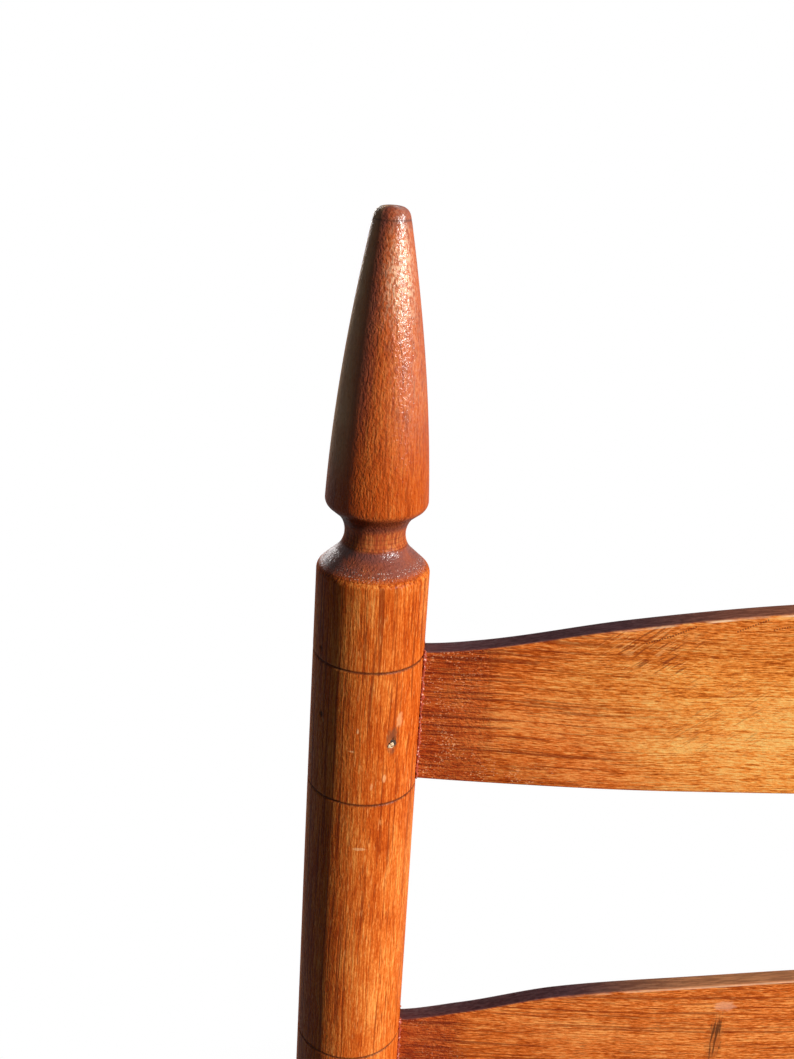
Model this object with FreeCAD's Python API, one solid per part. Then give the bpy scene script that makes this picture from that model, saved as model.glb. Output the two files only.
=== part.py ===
import FreeCAD, Part
import math
import os

# A four-slat ladderback chair: turned posts, bent slats, plain rungs and a woven rush seat.
# Millimetres and degrees. X runs to the right seen from the front, Y to the back, Z up from the floor.
# Left and right are as seen from the front. Heights on a rear post are measured along the post.

# Plan of the chair, between the axes of the posts at the height of the front seat rail
rear_post_spacing = 340.0
front_post_spacing = 440.0
seat_depth = 345.0
back_rake = 5.5

# Rear posts
shoulder_height = 1029.0
rear_foot_diameter = 30.0
rear_widest_diameter = 39.8
shoulder_diameter = 34.0

# Finial, heights above the shoulder
shoulder_drop = 2.2
shoulder_edge_height = -0.4
shoulder_edge_diameter = 32.6
neck_height = 9.95
neck_diameter = 18.3
cove_radius = 8.46
cove_half_height = 5.8
lip_height = 18.2
lip_diameter = 28.8
cone_base_height = 20.3
cone_base_diameter = 30.5
cone_waist_height = 42.0
cone_waist_diameter = 27.45
cone_middle_height = 70.0
cone_middle_diameter = 20.7
tip_height = 98.8
tip_diameter = 11.0
finial_height = 103.2
tip_flat_diameter = 6.4

# Scribed lines
scribe_depth = 0.35
scribe_width = 0.9
tip_scribe_depth = 0.2
slat_scribe_drop = 1.7
slat_scribe_spacing = 45.4

# Front posts
front_foot_edge = 1.5
front_post_rise = 64.0
front_foot_diameter = 29.0
front_widest_diameter = 39.0
front_top_diameter = 37.0
front_dome_height = 9.0
front_dome_flat_diameter = 16.0
front_neck_drop = 9.0
front_neck_depth = 2.2

# Slats
slat_count = 4
seat_to_slat_gap = 75.35
top_slat_drop = 72.1
slat_bow = 15.5
slat_set_forward = 1.4
slat_tenon_past_axis = 5.0
slat_edge = 0.9
mortise_clearance = 0.12

# Top edges of the slats: the height at the ends, then each rise above it at its distance from the post axis
slat_level_end = 12.0
top_slat_thickness = 7.0
top_slat_end_height = 44.6
top_slat_rises = ((34.0, 2.6), (77.0, 12.0), (126.0, 19.0))
top_slat_crest = 20.6
lower_slat_thickness = 5.8
lower_slat_end_height = 46.8
lower_slat_rises = ((38.0, 5.5), (70.0, 14.6), (112.0, 20.0))
lower_slat_crest = 23.4

# Pins of the top slat
pin_diameter = 2.4
pin_length = 23.0
pin_inset = 6.9
pin_drop = 52.7
pin_recess = 0.5
pin_clearance = 0.05

# Rungs and their sockets
tenon_diameter = 14.4
tenon_depth = 24.0
tenon_show = 1.2
socket_clearance = 0.1
socket_end_clearance = 0.8
rung_diameter = 21.5
front_rung_heights = (305.0, 188.0)
side_rung_heights = (268.0, 148.0)
rear_rung_height = 228.0

# Seat rails
seat_rail_height = 410.0
side_rail_lift = 15.6
seat_rail_diameter = 25.0
seat_rail_taper = 16.0

# Rush seat and its stuffing
rush_layer = 5.5
rush_clearance = 0.3
rush_corner = 24.0
seat_crown = 5.0
pocket_layer = 7.0
pocket_rail_margin = 16.0
pocket_seam_margin = 7.0
pocket_clearance = 0.3

rake = math.radians(back_rake)
up = FreeCAD.Vector(0, 0, 1)
rear_foot_y = seat_depth - seat_rail_height * math.tan(rake)
half_front = front_post_spacing / 2
half_rear = rear_post_spacing / 2
front_post_height = seat_rail_height + front_post_rise
rear_widest_height = seat_rail_height / math.cos(rake)
rush_half = seat_rail_diameter / 2 + rush_layer
seat_side_top = (seat_rail_height + side_rail_lift + rush_half) / math.cos(rake)
top_slat_bottom = shoulder_height - top_slat_drop
slat_pitch = (top_slat_bottom - seat_side_top - seat_to_slat_gap) / (slat_count - 1)
sides = {"left": -1, "right": 1}


def line(start, end):
    """Straight edge between two points given as (radius, height)."""
    points = [FreeCAD.Vector(radius, 0, height) for radius, height in (start, end)]
    return Part.LineSegment(*points).toShape()


def arc(start, middle, end):
    """Round edge through three points given as (radius, height)."""
    points = [FreeCAD.Vector(radius, 0, height) for radius, height in (start, middle, end)]
    return Part.Arc(*points).toShape()


def tangent_arc(tangent, end):
    """Round edge that leaves the first point upright and ends at the second, which is nearer the axis."""
    run = tangent[0] - end[0]
    rise = end[1] - tangent[1]
    radius = (run * run + rise * rise) / (2 * run)
    centre = tangent[0] - radius
    half_turn = math.atan2(rise, end[0] - centre) / 2
    middle = (centre + radius * math.cos(half_turn), tangent[1] + radius * math.sin(half_turn))
    return arc(tangent, middle, end)


def turned(edges):
    """Solid of revolution about Z of a closed outline in the XZ plane."""
    return Part.Face(Part.Wire(edges)).revolve(FreeCAD.Vector(0, 0, 0), up, 360)


def taper_radius(height, foot, widest, top):
    """Radius of a post that swells from its foot to its widest place and narrows to its top.

    Each of the three places is (height, diameter)."""
    low, high = (foot, widest) if height < widest[0] else (widest, top)
    share = (height - low[0]) / (high[0] - low[0])
    return (low[1] + share * (high[1] - low[1])) / 2


def rear_radius(height):
    foot = (0.0, rear_foot_diameter)
    widest = (rear_widest_height, rear_widest_diameter)
    return taper_radius(height, foot, widest, (shoulder_height, shoulder_diameter))


def front_radius(height):
    foot = (0.0, front_foot_diameter)
    widest = (seat_rail_height, front_widest_diameter)
    return taper_radius(height, foot, widest, (front_post_height, front_top_diameter))


def scribed_side(radius_at, start, end, widest, scribes):
    """Edges up the side of a post from start to end, with a V cut at each scribed height."""
    points = [(radius_at(start), start)]
    marks = [(widest, False)] + [(height, True) for height in scribes]
    for height, cut in sorted(marks):
        if cut:
            half = scribe_width / 2
            points.append((radius_at(height - half), height - half))
            points.append((radius_at(height) - scribe_depth, height))
            points.append((radius_at(height + half), height + half))
        else:
            points.append((radius_at(height), height))
    points.append((radius_at(end), end))
    return [line(a, b) for a, b in zip(points, points[1:])]


def slat_bottom(index):
    return top_slat_bottom - index * slat_pitch


def slat_thickness(index):
    return top_slat_thickness if index == 0 else lower_slat_thickness


def slat_end_height(index):
    return top_slat_end_height if index == 0 else lower_slat_end_height


def rear_scribes():
    heights = []
    for index in range(slat_count):
        low = slat_bottom(index) - slat_scribe_drop
        heights += [low, low + slat_scribe_spacing]
    return heights


def rear_post_blank():
    """Rear post with its finial, upright on its own axis, and longer at the foot by one foot radius."""
    base = -rear_foot_diameter / 2
    base_radius = rear_radius(base)
    body_top = shoulder_height - shoulder_drop
    body_radius = rear_radius(body_top)
    neck = shoulder_height + neck_height
    cove_top = (neck_diameter / 2 + cove_offset(), neck + cove_half_height)
    cove_low = (neck_diameter / 2 + cove_offset(), neck - cove_half_height)
    shoulder_edge = (shoulder_edge_diameter / 2, shoulder_height + shoulder_edge_height)
    lip = (lip_diameter / 2, shoulder_height + lip_height)
    cone_base = (cone_base_diameter / 2, shoulder_height + cone_base_height)
    cone_waist = (cone_waist_diameter / 2, shoulder_height + cone_waist_height)
    cone_middle = (cone_middle_diameter / 2, shoulder_height + cone_middle_height)
    tip_low = (tip_diameter / 2, shoulder_height + tip_height - scribe_width / 2)
    tip_groove = (tip_diameter / 2 - tip_scribe_depth, shoulder_height + tip_height)
    tip_high = (tip_diameter / 2, shoulder_height + tip_height + scribe_width / 2)
    tip_flat = (tip_flat_diameter / 2, shoulder_height + finial_height)
    cone = Part.BSplineCurve()
    cone_points = [FreeCAD.Vector(r, 0, h) for r, h in (cone_base, cone_waist, cone_middle, tip_low)]
    fall = cone_points[3] - cone_points[2]
    cone.interpolate(Points=cone_points, InitialTangent=up * fall.Length, FinalTangent=fall)
    edges = [line((0, base), (base_radius, base))]
    edges += scribed_side(rear_radius, base, body_top, rear_widest_height, rear_scribes())
    edges.append(tangent_arc((body_radius, body_top), shoulder_edge))
    edges.append(line(shoulder_edge, cove_low))
    edges.append(arc(cove_low, (neck_diameter / 2, neck), cove_top))
    edges.append(line(cove_top, lip))
    edges.append(tangent_arc(cone_base, lip))
    edges.append(cone.toShape())
    edges += [line(tip_low, tip_groove), line(tip_groove, tip_high)]
    edges.append(dome(tip_high, tip_flat))
    edges.append(line(tip_flat, (0, tip_flat[1])))
    edges.append(line((0, tip_flat[1]), (0, base)))
    return turned(edges)


def cove_offset():
    return cove_radius - math.sqrt(cove_radius ** 2 - cove_half_height ** 2)


def dome(outer, inner):
    """Rounded edge from the side of a top to its flat middle, through the middle of a quarter ellipse."""
    bulge = math.sqrt(0.5)
    middle = (inner[0] + bulge * (outer[0] - inner[0]), outer[1] + bulge * (inner[1] - outer[1]))
    return arc(outer, middle, inner)


def front_post_blank():
    """Front post: tapered foot, a shallow neck above the seat and a domed top."""
    foot = front_foot_diameter / 2
    neck_middle = front_post_height - front_dome_height - front_neck_drop / 2
    neck_low = neck_middle - front_neck_drop / 2
    dome_base = front_post_height - front_dome_height
    groove = (front_radius(neck_middle) - front_neck_depth, neck_middle)
    top_middle = front_dome_flat_diameter / 2
    edges = [line((0, 0), (foot - front_foot_edge, 0))]
    edges.append(line((foot - front_foot_edge, 0), (front_radius(front_foot_edge), front_foot_edge)))
    scribes = front_rung_heights + side_rung_heights
    edges += scribed_side(front_radius, front_foot_edge, neck_low, seat_rail_height, scribes)
    edges.append(arc((front_radius(neck_low), neck_low), groove, (front_radius(dome_base), dome_base)))
    edges.append(dome((front_radius(dome_base), dome_base), (top_middle, front_post_height)))
    edges.append(line((top_middle, front_post_height), (0, front_post_height)))
    edges.append(line((0, front_post_height), (0, 0)))
    return turned(edges)


def placed_on_rear_post(shape, side):
    """Move a shape from the upright frame of a rear post, at X = 0, to its leaning place in the chair."""
    placed = shape.copy()
    placed.rotate(FreeCAD.Vector(0, 0, 0), FreeCAD.Vector(1, 0, 0), -back_rake)
    placed.translate(FreeCAD.Vector(side * half_rear, rear_foot_y, 0))
    return placed


def slat_outline(index, grow):
    """Face of a slat seen from the front: a straight bottom, and an ogee that rises to the middle."""
    rises = top_slat_rises if index == 0 else lower_slat_rises
    crest = top_slat_crest if index == 0 else lower_slat_crest
    bottom = slat_bottom(index) - grow
    end_top = slat_bottom(index) + slat_end_height(index) + grow
    level = half_rear - slat_level_end
    reach = half_rear + slat_tenon_past_axis + slat_thickness(index)
    half_curve = [(level, 0.0)] + [(half_rear - distance, rise) for distance, rise in rises]
    top = [FreeCAD.Vector(x, 0, end_top + rise) for x, rise in half_curve]
    top.append(FreeCAD.Vector(0, 0, end_top + crest))
    top += [FreeCAD.Vector(-point.x, 0, point.z) for point in reversed(top[:-1])]
    curve = Part.BSplineCurve()
    inwards = FreeCAD.Vector(-1, 0, 0)
    curve.interpolate(Points=top, InitialTangent=inwards, FinalTangent=inwards)
    corners = [(-level, end_top), (-reach, end_top), (-reach, bottom), (reach, bottom), (reach, end_top)]
    corners.append((level, end_top))
    edges = [curve.toShape()]
    edges += [line(a, b) for a, b in zip(corners, corners[1:])]
    return Part.Face(Part.Wire(edges))


def slat_band(index, grow):
    """Plan of a slat: a band between two arcs that bows to the back, in the upright frame of the posts."""
    chord = half_rear
    radius = (chord * chord + slat_bow * slat_bow) / (2 * slat_bow)
    centre_y = slat_bow - slat_set_forward - radius
    half_angle = math.asin(chord / radius) + (slat_tenon_past_axis + grow) / radius
    half = slat_thickness(index) / 2 + grow

    def on_arc(distance, angle):
        return FreeCAD.Vector(distance * math.sin(angle), centre_y + distance * math.cos(angle), 0)

    outer = [on_arc(radius + half, angle) for angle in (-half_angle, 0, half_angle)]
    inner = [on_arc(radius - half, angle) for angle in (half_angle, 0, -half_angle)]
    edges = [Part.Arc(*outer).toShape(), Part.LineSegment(outer[2], inner[0]).toShape()]
    edges += [Part.Arc(*inner).toShape(), Part.LineSegment(inner[2], outer[0]).toShape()]
    return Part.Face(Part.Wire(edges))


def slat_blank(index, grow=0.0):
    """One slat with its tenons, or with grow the tool that cuts its mortises."""
    deep = 4 * (slat_bow + slat_thickness(index))
    outline = slat_outline(index, grow)
    outline.translate(FreeCAD.Vector(0, -deep / 2, 0))
    board = outline.extrude(FreeCAD.Vector(0, deep, 0))
    band = slat_band(index, grow)
    low = slat_bottom(index) - slat_pitch / 4
    band.translate(FreeCAD.Vector(0, 0, low))
    bent = band.extrude(FreeCAD.Vector(0, 0, slat_pitch))
    return bent.common(board)


def eased(slat):
    """Slat with its long edges worn round: those that run along it and lie on its front or back face."""
    long_edges = [edge for edge in slat.Edges if edge.BoundBox.XLength > rear_post_spacing / 4]
    return slat.makeFillet(slat_edge, long_edges)


def pin(side, grow=0.0, past=0.0):
    """Pin driven from behind through a rear post and the tenon of the top slat, in the frame of the posts."""
    radius = pin_diameter / 2 + grow
    depth = math.sqrt(rear_radius(shoulder_height - pin_drop) ** 2 - pin_inset ** 2)
    head = depth - pin_recess + past
    start = FreeCAD.Vector(side * (half_rear - pin_inset), head, shoulder_height - pin_drop)
    return Part.makeCylinder(radius, pin_length + past + grow, start, FreeCAD.Vector(0, -1, 0))


def leaning(shape):
    """Move a shape from the upright frame of the posts, midway between them, to its place in the chair."""
    return placed_on_rear_post(shape, 0)


def rear_axis(side, height):
    return FreeCAD.Vector(side * half_rear, rear_foot_y + height * math.tan(rake), height)


def front_axis(side, height):
    return FreeCAD.Vector(side * half_front, 0, height)


def along(start, end, shape):
    """Put a shape that was made along Z from the origin on the line from start to end."""
    placed = shape.copy()
    placed.Placement = FreeCAD.Placement(start, FreeCAD.Rotation(up, end - start))
    return placed


class Rung:
    """A round rung or rail between two posts, with its tenons and the sockets that take them."""

    def __init__(self, start, start_radius, end, end_radius, middle_diameter, taper=None):
        self.start = start
        self.end = end
        self.length = (end - start).Length
        self.faces = (start_radius + tenon_show, self.length - end_radius - tenon_show)
        self.middle_diameter = middle_diameter
        self.taper = taper

    def solid(self, grow=0.0):
        """The rung, or with grow the space that it needs: tenons, and a swell or a taper between them."""
        thin = tenon_diameter / 2 + grow
        thick = self.middle_diameter / 2 + grow
        low = self.faces[0] - tenon_show - tenon_depth
        high = self.faces[1] + tenon_show + tenon_depth
        if self.taper is None:
            middle = (thick, (self.faces[0] + self.faces[1]) / 2)
            body = [arc((thin, self.faces[0]), middle, (thin, self.faces[1]))]
        else:
            full = (self.faces[0] + self.taper, self.faces[1] - self.taper)
            body = [line((thin, self.faces[0]), (thick, full[0])), line((thick, full[0]), (thick, full[1]))]
            body.append(line((thick, full[1]), (thin, self.faces[1])))
        edges = [line((0, low), (thin, low)), line((thin, low), (thin, self.faces[0]))] + body
        edges += [line((thin, self.faces[1]), (thin, high)), line((thin, high), (0, high))]
        edges.append(line((0, high), (0, low)))
        return along(self.start, self.end, turned(edges))

    def socket(self, at_end):
        """The drill for the hole of one tenon, which reaches out of the post by one tenon's diameter."""
        deep = tenon_show + tenon_depth + socket_end_clearance
        low = self.faces[1] - tenon_diameter if at_end else self.faces[0] - deep
        radius = tenon_diameter / 2 + socket_clearance
        drill = Part.makeCylinder(radius, deep + tenon_diameter, FreeCAD.Vector(0, 0, low))
        return along(self.start, self.end, drill)


def make_rungs():
    """All rungs and rails by name."""
    rungs = {}
    rail = seat_rail_height
    side_rail = seat_rail_height + side_rail_lift
    front_bars = [("seat_rail_front", rail, seat_rail_diameter, seat_rail_taper)]
    front_bars.append(("front_rung_upper", front_rung_heights[0], rung_diameter, None))
    front_bars.append(("front_rung_lower", front_rung_heights[1], rung_diameter, None))
    for name, height, diameter, taper in front_bars:
        radius = front_radius(height)
        rungs[name] = Rung(front_axis(-1, height), radius, front_axis(1, height), radius, diameter, taper)
    rear_bars = [("seat_rail_back", rail, seat_rail_diameter, seat_rail_taper)]
    rear_bars.append(("rear_rung", rear_rung_height, rung_diameter, None))
    for name, height, diameter, taper in rear_bars:
        radius = rear_radius(height / math.cos(rake))
        rungs[name] = Rung(rear_axis(-1, height), radius, rear_axis(1, height), radius, diameter, taper)
    for side_name, side in sides.items():
        side_bars = [("seat_rail_" + side_name, side_rail, seat_rail_diameter, seat_rail_taper)]
        side_bars.append((side_name + "_rung_upper", side_rung_heights[0], rung_diameter, None))
        side_bars.append((side_name + "_rung_lower", side_rung_heights[1], rung_diameter, None))
        for name, height, diameter, taper in side_bars:
            ends = (front_axis(side, height), rear_axis(side, height))
            radii = (front_radius(height), rear_radius(height / math.cos(rake)))
            rungs[name] = Rung(ends[0], radii[0], ends[1], radii[1], diameter, taper)
    return rungs


def rail_frame(rungs):
    """The eight points on the axes of the rails where the seat's edges meet its cut corners."""
    points = []
    order = [("seat_rail_front", False), ("seat_rail_right", False), ("seat_rail_back", True)]
    order.append(("seat_rail_left", True))
    for name, backwards in order:
        rail = rungs[name]
        step = (rail.end - rail.start).normalize() * rush_corner
        ends = [rail.start + step, rail.end - step]
        points += list(reversed(ends)) if backwards else ends
    return points


def slab(points, centre, half, crown):
    """Closed solid of flat facets: the ring of points, raised and lowered by half, and its crowned middle."""
    tops = [point + up * half for point in points]
    lows = [point - up * half for point in points]
    top_middle = centre + up * (half + crown)
    low_middle = centre - up * half
    faces = []
    for index, top in enumerate(tops):
        after = (index + 1) % len(points)
        faces.append(Part.Face(Part.makePolygon([top, tops[after], top_middle, top])))
        faces.append(Part.Face(Part.makePolygon([lows[after], lows[index], low_middle, lows[after]])))
        corner = lows[after]
        faces.append(Part.Face(Part.makePolygon([top, lows[index], tops[after], top])))
        faces.append(Part.Face(Part.makePolygon([tops[after], lows[index], corner, tops[after]])))
    return Part.Solid(Part.Shell(faces))


def seat_centre(points):
    total = FreeCAD.Vector(0, 0, 0)
    for point in points:
        total = total + point
    return total * (1.0 / len(points))


def inset_triangle(corners, margins):
    """Triangle in plan whose sides are moved inwards, side i from corner i to the next by margin i."""
    lines = []
    for index, corner in enumerate(corners):
        after = corners[(index + 1) % 3]
        run = FreeCAD.Vector(after.x - corner.x, after.y - corner.y, 0).normalize()
        inward = FreeCAD.Vector(-run.y, run.x, 0)
        lines.append((FreeCAD.Vector(corner.x, corner.y, 0) + inward * margins[index], run))
    inset = []
    for index, (point, run) in enumerate(lines):
        before, before_run = lines[index - 1]
        cross = before_run.x * run.y - before_run.y * run.x
        gap = point - before
        distance = (gap.x * run.y - gap.y * run.x) / cross
        inset.append(before + before_run * distance)
    return inset


def pocket_pad(corners, points, centre, grow=0.0):
    """Stuffing of one pocket, or with grow the pocket that holds it."""
    half = rush_half - pocket_layer + grow
    rail_margin = seat_rail_diameter / 2 + pocket_rail_margin - grow
    seam_margin = pocket_seam_margin - grow
    plan = inset_triangle(corners, (rail_margin, seam_margin, seam_margin))
    low = min(point.z for point in points) - 2 * half
    tall = 4 * half + side_rail_lift + seat_crown
    outline = [FreeCAD.Vector(point.x, point.y, low) for point in plan]
    prism = Part.Face(Part.makePolygon(outline + outline[:1])).extrude(FreeCAD.Vector(0, 0, tall))
    return prism.common(slab(points, centre, half, seat_crown))


def make_seat(rungs, posts):
    """The rush seat, cut clear of posts and rails, and the stuffing in its four pockets."""
    points = rail_frame(rungs)
    centre = seat_centre(points)
    rush = slab(points, centre, rush_half, seat_crown)
    rails = [rungs["seat_rail_" + name] for name in ("front", "right", "back", "left")]
    for rail in rails:
        wrap = Part.makeCylinder(rush_half, rail.length)
        rush = rush.fuse(along(rail.start, rail.end, wrap))
    rush = rush.cut(posts)
    rush = rush.cut([rail.solid(rush_clearance) for rail in rails])
    pads = {}
    for index, name in enumerate(("front", "right", "back", "left")):
        rail = rails[index]
        ends = [rail.start, rail.end] if index < 2 else [rail.end, rail.start]
        corners = [ends[0], ends[1], centre]
        pads["seat_stuffing_" + name] = pocket_pad(corners, points, centre)
        rush = rush.cut(pocket_pad(corners, points, centre, pocket_clearance))
    return rush, pads


def grown_post(radius_at, height):
    """Upright cylinder on the axis of a post at the seat, a little larger than the post."""
    low = seat_rail_height - front_widest_diameter
    high = seat_rail_height + side_rail_lift + front_widest_diameter
    radius = max(radius_at(low), radius_at(high), radius_at(height)) + rush_clearance
    return Part.makeCylinder(radius, high - low, FreeCAD.Vector(0, 0, low))


def make_chair():
    """All pieces by node name, in the frame of the plan, with the front posts at Y = 0."""
    pieces = {}
    rungs = make_rungs()
    mortises = [slat_blank(index, mortise_clearance) for index in range(slat_count)]
    pin_holes = [pin(side, pin_clearance, pin_length) for side in sides.values()]
    reach = 2 * shoulder_height
    floor = Part.makeBox(reach, reach, reach, FreeCAD.Vector(-reach / 2, -reach / 2, -reach))
    post_spaces = []
    for side_name, side in sides.items():
        post = placed_on_rear_post(rear_post_blank(), side).cut(floor)
        tools = [leaning(tool) for tool in mortises + pin_holes]
        tools += [rungs[name].socket(side == 1) for name in ("seat_rail_back", "rear_rung")]
        tools += [rung.socket(True) for name, rung in rungs.items() if side_name in name]
        pieces["rear_post_" + side_name] = post.cut(tools)
        space = grown_post(rear_radius, rear_widest_height)
        post_spaces.append(placed_on_rear_post(space, side))
    for side_name, side in sides.items():
        post = front_post_blank()
        post.translate(front_axis(side, 0))
        tools = [rung.socket(side == 1) for name, rung in rungs.items() if "front" in name]
        tools += [rung.socket(False) for name, rung in rungs.items() if side_name in name]
        pieces["front_post_" + side_name] = post.cut(tools)
        space = grown_post(front_radius, seat_rail_height)
        space.translate(front_axis(side, 0))
        post_spaces.append(space)
    for index in range(slat_count):
        slat = eased(slat_blank(index))
        if index == 0:
            slat = slat.cut(pin_holes)
        pieces["slat_" + str(index + 1)] = leaning(slat)
    pieces["slat_pins"] = Part.makeCompound([leaning(pin(side)) for side in sides.values()])
    for name, rung in rungs.items():
        pieces[name] = rung.solid()
    rush, pads = make_seat(rungs, post_spaces)
    pieces["rush_seat"] = rush
    pieces.update(pads)
    return pieces


def write_parts(pieces):
    """Centre the chair on its origin at the floor and write one STEP file per piece."""
    os.makedirs("parts", exist_ok=True)
    whole = Part.makeCompound(list(pieces.values())).optimalBoundingBox(False)
    shift = FreeCAD.Vector(-whole.Center.x, -whole.Center.y, -whole.ZMin)
    for name, shape in pieces.items():
        placed = shape.copy()
        placed.translate(shift)
        placed.exportStep("parts/" + name + ".step")
        print(name, len(placed.Solids), placed.isValid(), round(placed.Volume), placed.isClosed())
    print("size", round(whole.XLength, 2), round(whole.YLength, 2), round(whole.ZLength, 2), "shift", shift)


write_parts(make_chair())
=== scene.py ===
import itertools
import math

import bpy
import numpy as np
from mathutils import Matrix, Vector


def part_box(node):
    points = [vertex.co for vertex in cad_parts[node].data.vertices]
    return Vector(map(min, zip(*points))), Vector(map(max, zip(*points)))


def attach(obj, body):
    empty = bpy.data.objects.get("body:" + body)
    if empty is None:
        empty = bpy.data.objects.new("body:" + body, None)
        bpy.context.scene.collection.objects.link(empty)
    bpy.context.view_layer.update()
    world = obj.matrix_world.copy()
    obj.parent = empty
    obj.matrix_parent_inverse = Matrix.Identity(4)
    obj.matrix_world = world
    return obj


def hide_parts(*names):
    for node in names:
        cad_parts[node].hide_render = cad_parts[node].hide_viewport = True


# The finish of a four-slat ladderback chair: turned and varnished posts and rungs, bent slats, rush seat.
# Metres, Z up, front of the chair towards -Y. Left and right are as seen from the front.

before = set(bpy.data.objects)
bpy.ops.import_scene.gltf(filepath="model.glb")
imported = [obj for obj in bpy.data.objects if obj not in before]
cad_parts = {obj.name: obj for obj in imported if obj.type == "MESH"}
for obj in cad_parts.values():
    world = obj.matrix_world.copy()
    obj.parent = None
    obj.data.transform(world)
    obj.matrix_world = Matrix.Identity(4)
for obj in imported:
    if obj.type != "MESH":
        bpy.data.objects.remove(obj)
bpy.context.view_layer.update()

MM = 0.001


def mm(*values):
    """Lengths given in millimetres."""
    return tuple(value * MM for value in values)


# Plan of the chair
rake = math.radians(5.5)
seat_depth = 345 * MM
seat_rail_height = 410 * MM
side_rail_lift = 15.6 * MM
half_front = 220 * MM
half_rear = 170 * MM
front_y = sum(corner.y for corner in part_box("front_post_left")) / 2
rear_foot_y = front_y + seat_depth - seat_rail_height * math.tan(rake)
sides = {"left": -1, "right": 1}

# Rear posts, with heights along the post from the floor
shoulder = 1029 * MM
rear_foot_radius = 15 * MM
rear_widest_radius = 19.9 * MM
shoulder_radius = 17 * MM
rear_widest = seat_rail_height / math.cos(rake)

# Front posts
front_top = seat_rail_height + 64 * MM
front_foot_radius = 14.5 * MM
front_widest_radius = 19.5 * MM
front_top_radius = 18.5 * MM

# Slats
slat_bow = 15.5 * MM
slat_set_forward = 1.4 * MM
slat_tenon_past_axis = 5 * MM
slat_pitch = 145.3 * MM
top_slat_drop = 72.1 * MM
slat_edge = 1.0 * MM

# Scribed lines
scribe_depth = 0.35 * MM
scribe_half_width = 0.38 * MM
slat_scribe_drop = 1.7 * MM
slat_scribe_spacing = 45.4 * MM

# Pins of the top slat: distance inwards from the axis of the post, and height below its shoulder
pin_inset = 6.9 * MM
pin_drop = 52.7 * MM

# Knocks on the outer side of each rear post, as heights below its shoulder
knock_drops = (24.6 * MM, 46.1 * MM)

# Weight of the coat: where varnish lies thin, on the finial, on its shoulder and on the slats' ends
thin_varnish = 0.09
finial_thinnest = 0.17
finial_varnish = 0.95
shoulder_varnish = 0.80
slat_end_varnish = 0.20

# Rungs and rails
tenon_radius = 7.2 * MM
tenon_show = 1.2 * MM
tenon_depth = 24 * MM
rung_radius = 10.75 * MM
rail_radius = 12.5 * MM
rail_taper = 16 * MM
front_rungs = {"upper": 305 * MM, "lower": 188 * MM}
side_rungs = {"upper": 268 * MM, "lower": 148 * MM}
rear_rung = 228 * MM

# Rush seat
cord_radius = 2.75 * MM
cord_pitch = 5.35 * MM
seat_crown = 5 * MM
seam_dive = 8 * MM
top_dive = 13 * MM
low_dive = 11 * MM
seam_swell = 0.35
strand_twist = 30 * MM
rush_half = rail_radius + 2 * cord_radius


def smooth_step(values, low, high):
    share = np.clip((values - low) / (high - low), 0, 1)
    return share * share * (3 - 2 * share)


def build_mesh(name, points, quads, triangles):
    """Smooth mesh from arrays of points, four-sided faces and three-sided faces."""
    mesh = bpy.data.meshes.new(name)
    corners = np.concatenate([quads.ravel(), triangles.ravel()])
    starts = np.concatenate([np.arange(len(quads)) * 4, 4 * len(quads) + np.arange(len(triangles)) * 3])
    mesh.vertices.add(len(points))
    mesh.vertices.foreach_set("co", points.astype(np.float32).ravel())
    mesh.loops.add(len(corners))
    mesh.loops.foreach_set("vertex_index", corners.astype(np.int32))
    mesh.polygons.add(len(starts))
    mesh.polygons.foreach_set("loop_start", starts.astype(np.int32))
    mesh.polygons.foreach_set("use_smooth", np.ones(len(starts), bool))
    mesh.update(calc_edges=True)
    return mesh


def new_piece(name, points, quads, triangles, slot, material, attributes):
    """Object at the origin that rides on the chair, with attributes of one number or vector per point."""
    piece = bpy.data.objects.new(name, build_mesh(name, points, quads, triangles))
    bpy.context.scene.collection.objects.link(piece)
    piece.data.materials.append(material)
    for label, values in attributes.items():
        kind, field = ("FLOAT_VECTOR", "vector") if values.ndim == 2 else ("FLOAT", "value")
        attribute = piece.data.attributes.new(label, kind, "POINT")
        attribute.data.foreach_set(field, values.astype(np.float32).ravel())
    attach(piece, "root")
    return piece


def tube_faces(rows, around):
    """Quads between neighbouring rings of points, each ring closed, facing away from the middle."""
    row = np.arange(rows - 1)[:, None] * around
    column = np.arange(around)[None, :]
    after = (column + 1) % around
    quads = np.stack([row + column, row + after, row + around + after, row + around + column], axis=-1)
    return quads.reshape(-1, 4)


def cap_faces(rows, around):
    """Triangles that close the first and the last ring with the two points that follow the rings."""
    column = np.arange(around)
    after = (column + 1) % around
    low = np.full(around, rows * around)
    top = (rows - 1) * around
    first = np.stack([after, column, low], axis=-1)
    last = np.stack([top + column, top + after, low + 1], axis=-1)
    return np.concatenate([first, last])


def with_ends(rings, low, high):
    """The points or values of the rings, followed by those of the two end points."""
    flat = rings.reshape(-1, *np.shape(low))
    return np.concatenate([flat, np.array([low, high])])


def gathered(tubes):
    """Points, quads and triangles of many closed tubes, each given by its rings and its two end points."""
    points, quads, triangles = [], [], []
    total = 0
    for rings, low, high in tubes:
        rows, around = rings.shape[:2]
        points.append(with_ends(rings, low, high))
        quads.append(tube_faces(rows, around) + total)
        triangles.append(cap_faces(rows, around) + total)
        total += len(points[-1])
    return np.concatenate(points), np.concatenate(quads), np.concatenate(triangles)


def bell(values, middle, width, power=2):
    """1 at the middle, falling smoothly to 0 beyond a width to either side."""
    return np.exp(-((values - middle) / width) ** power)


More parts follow.
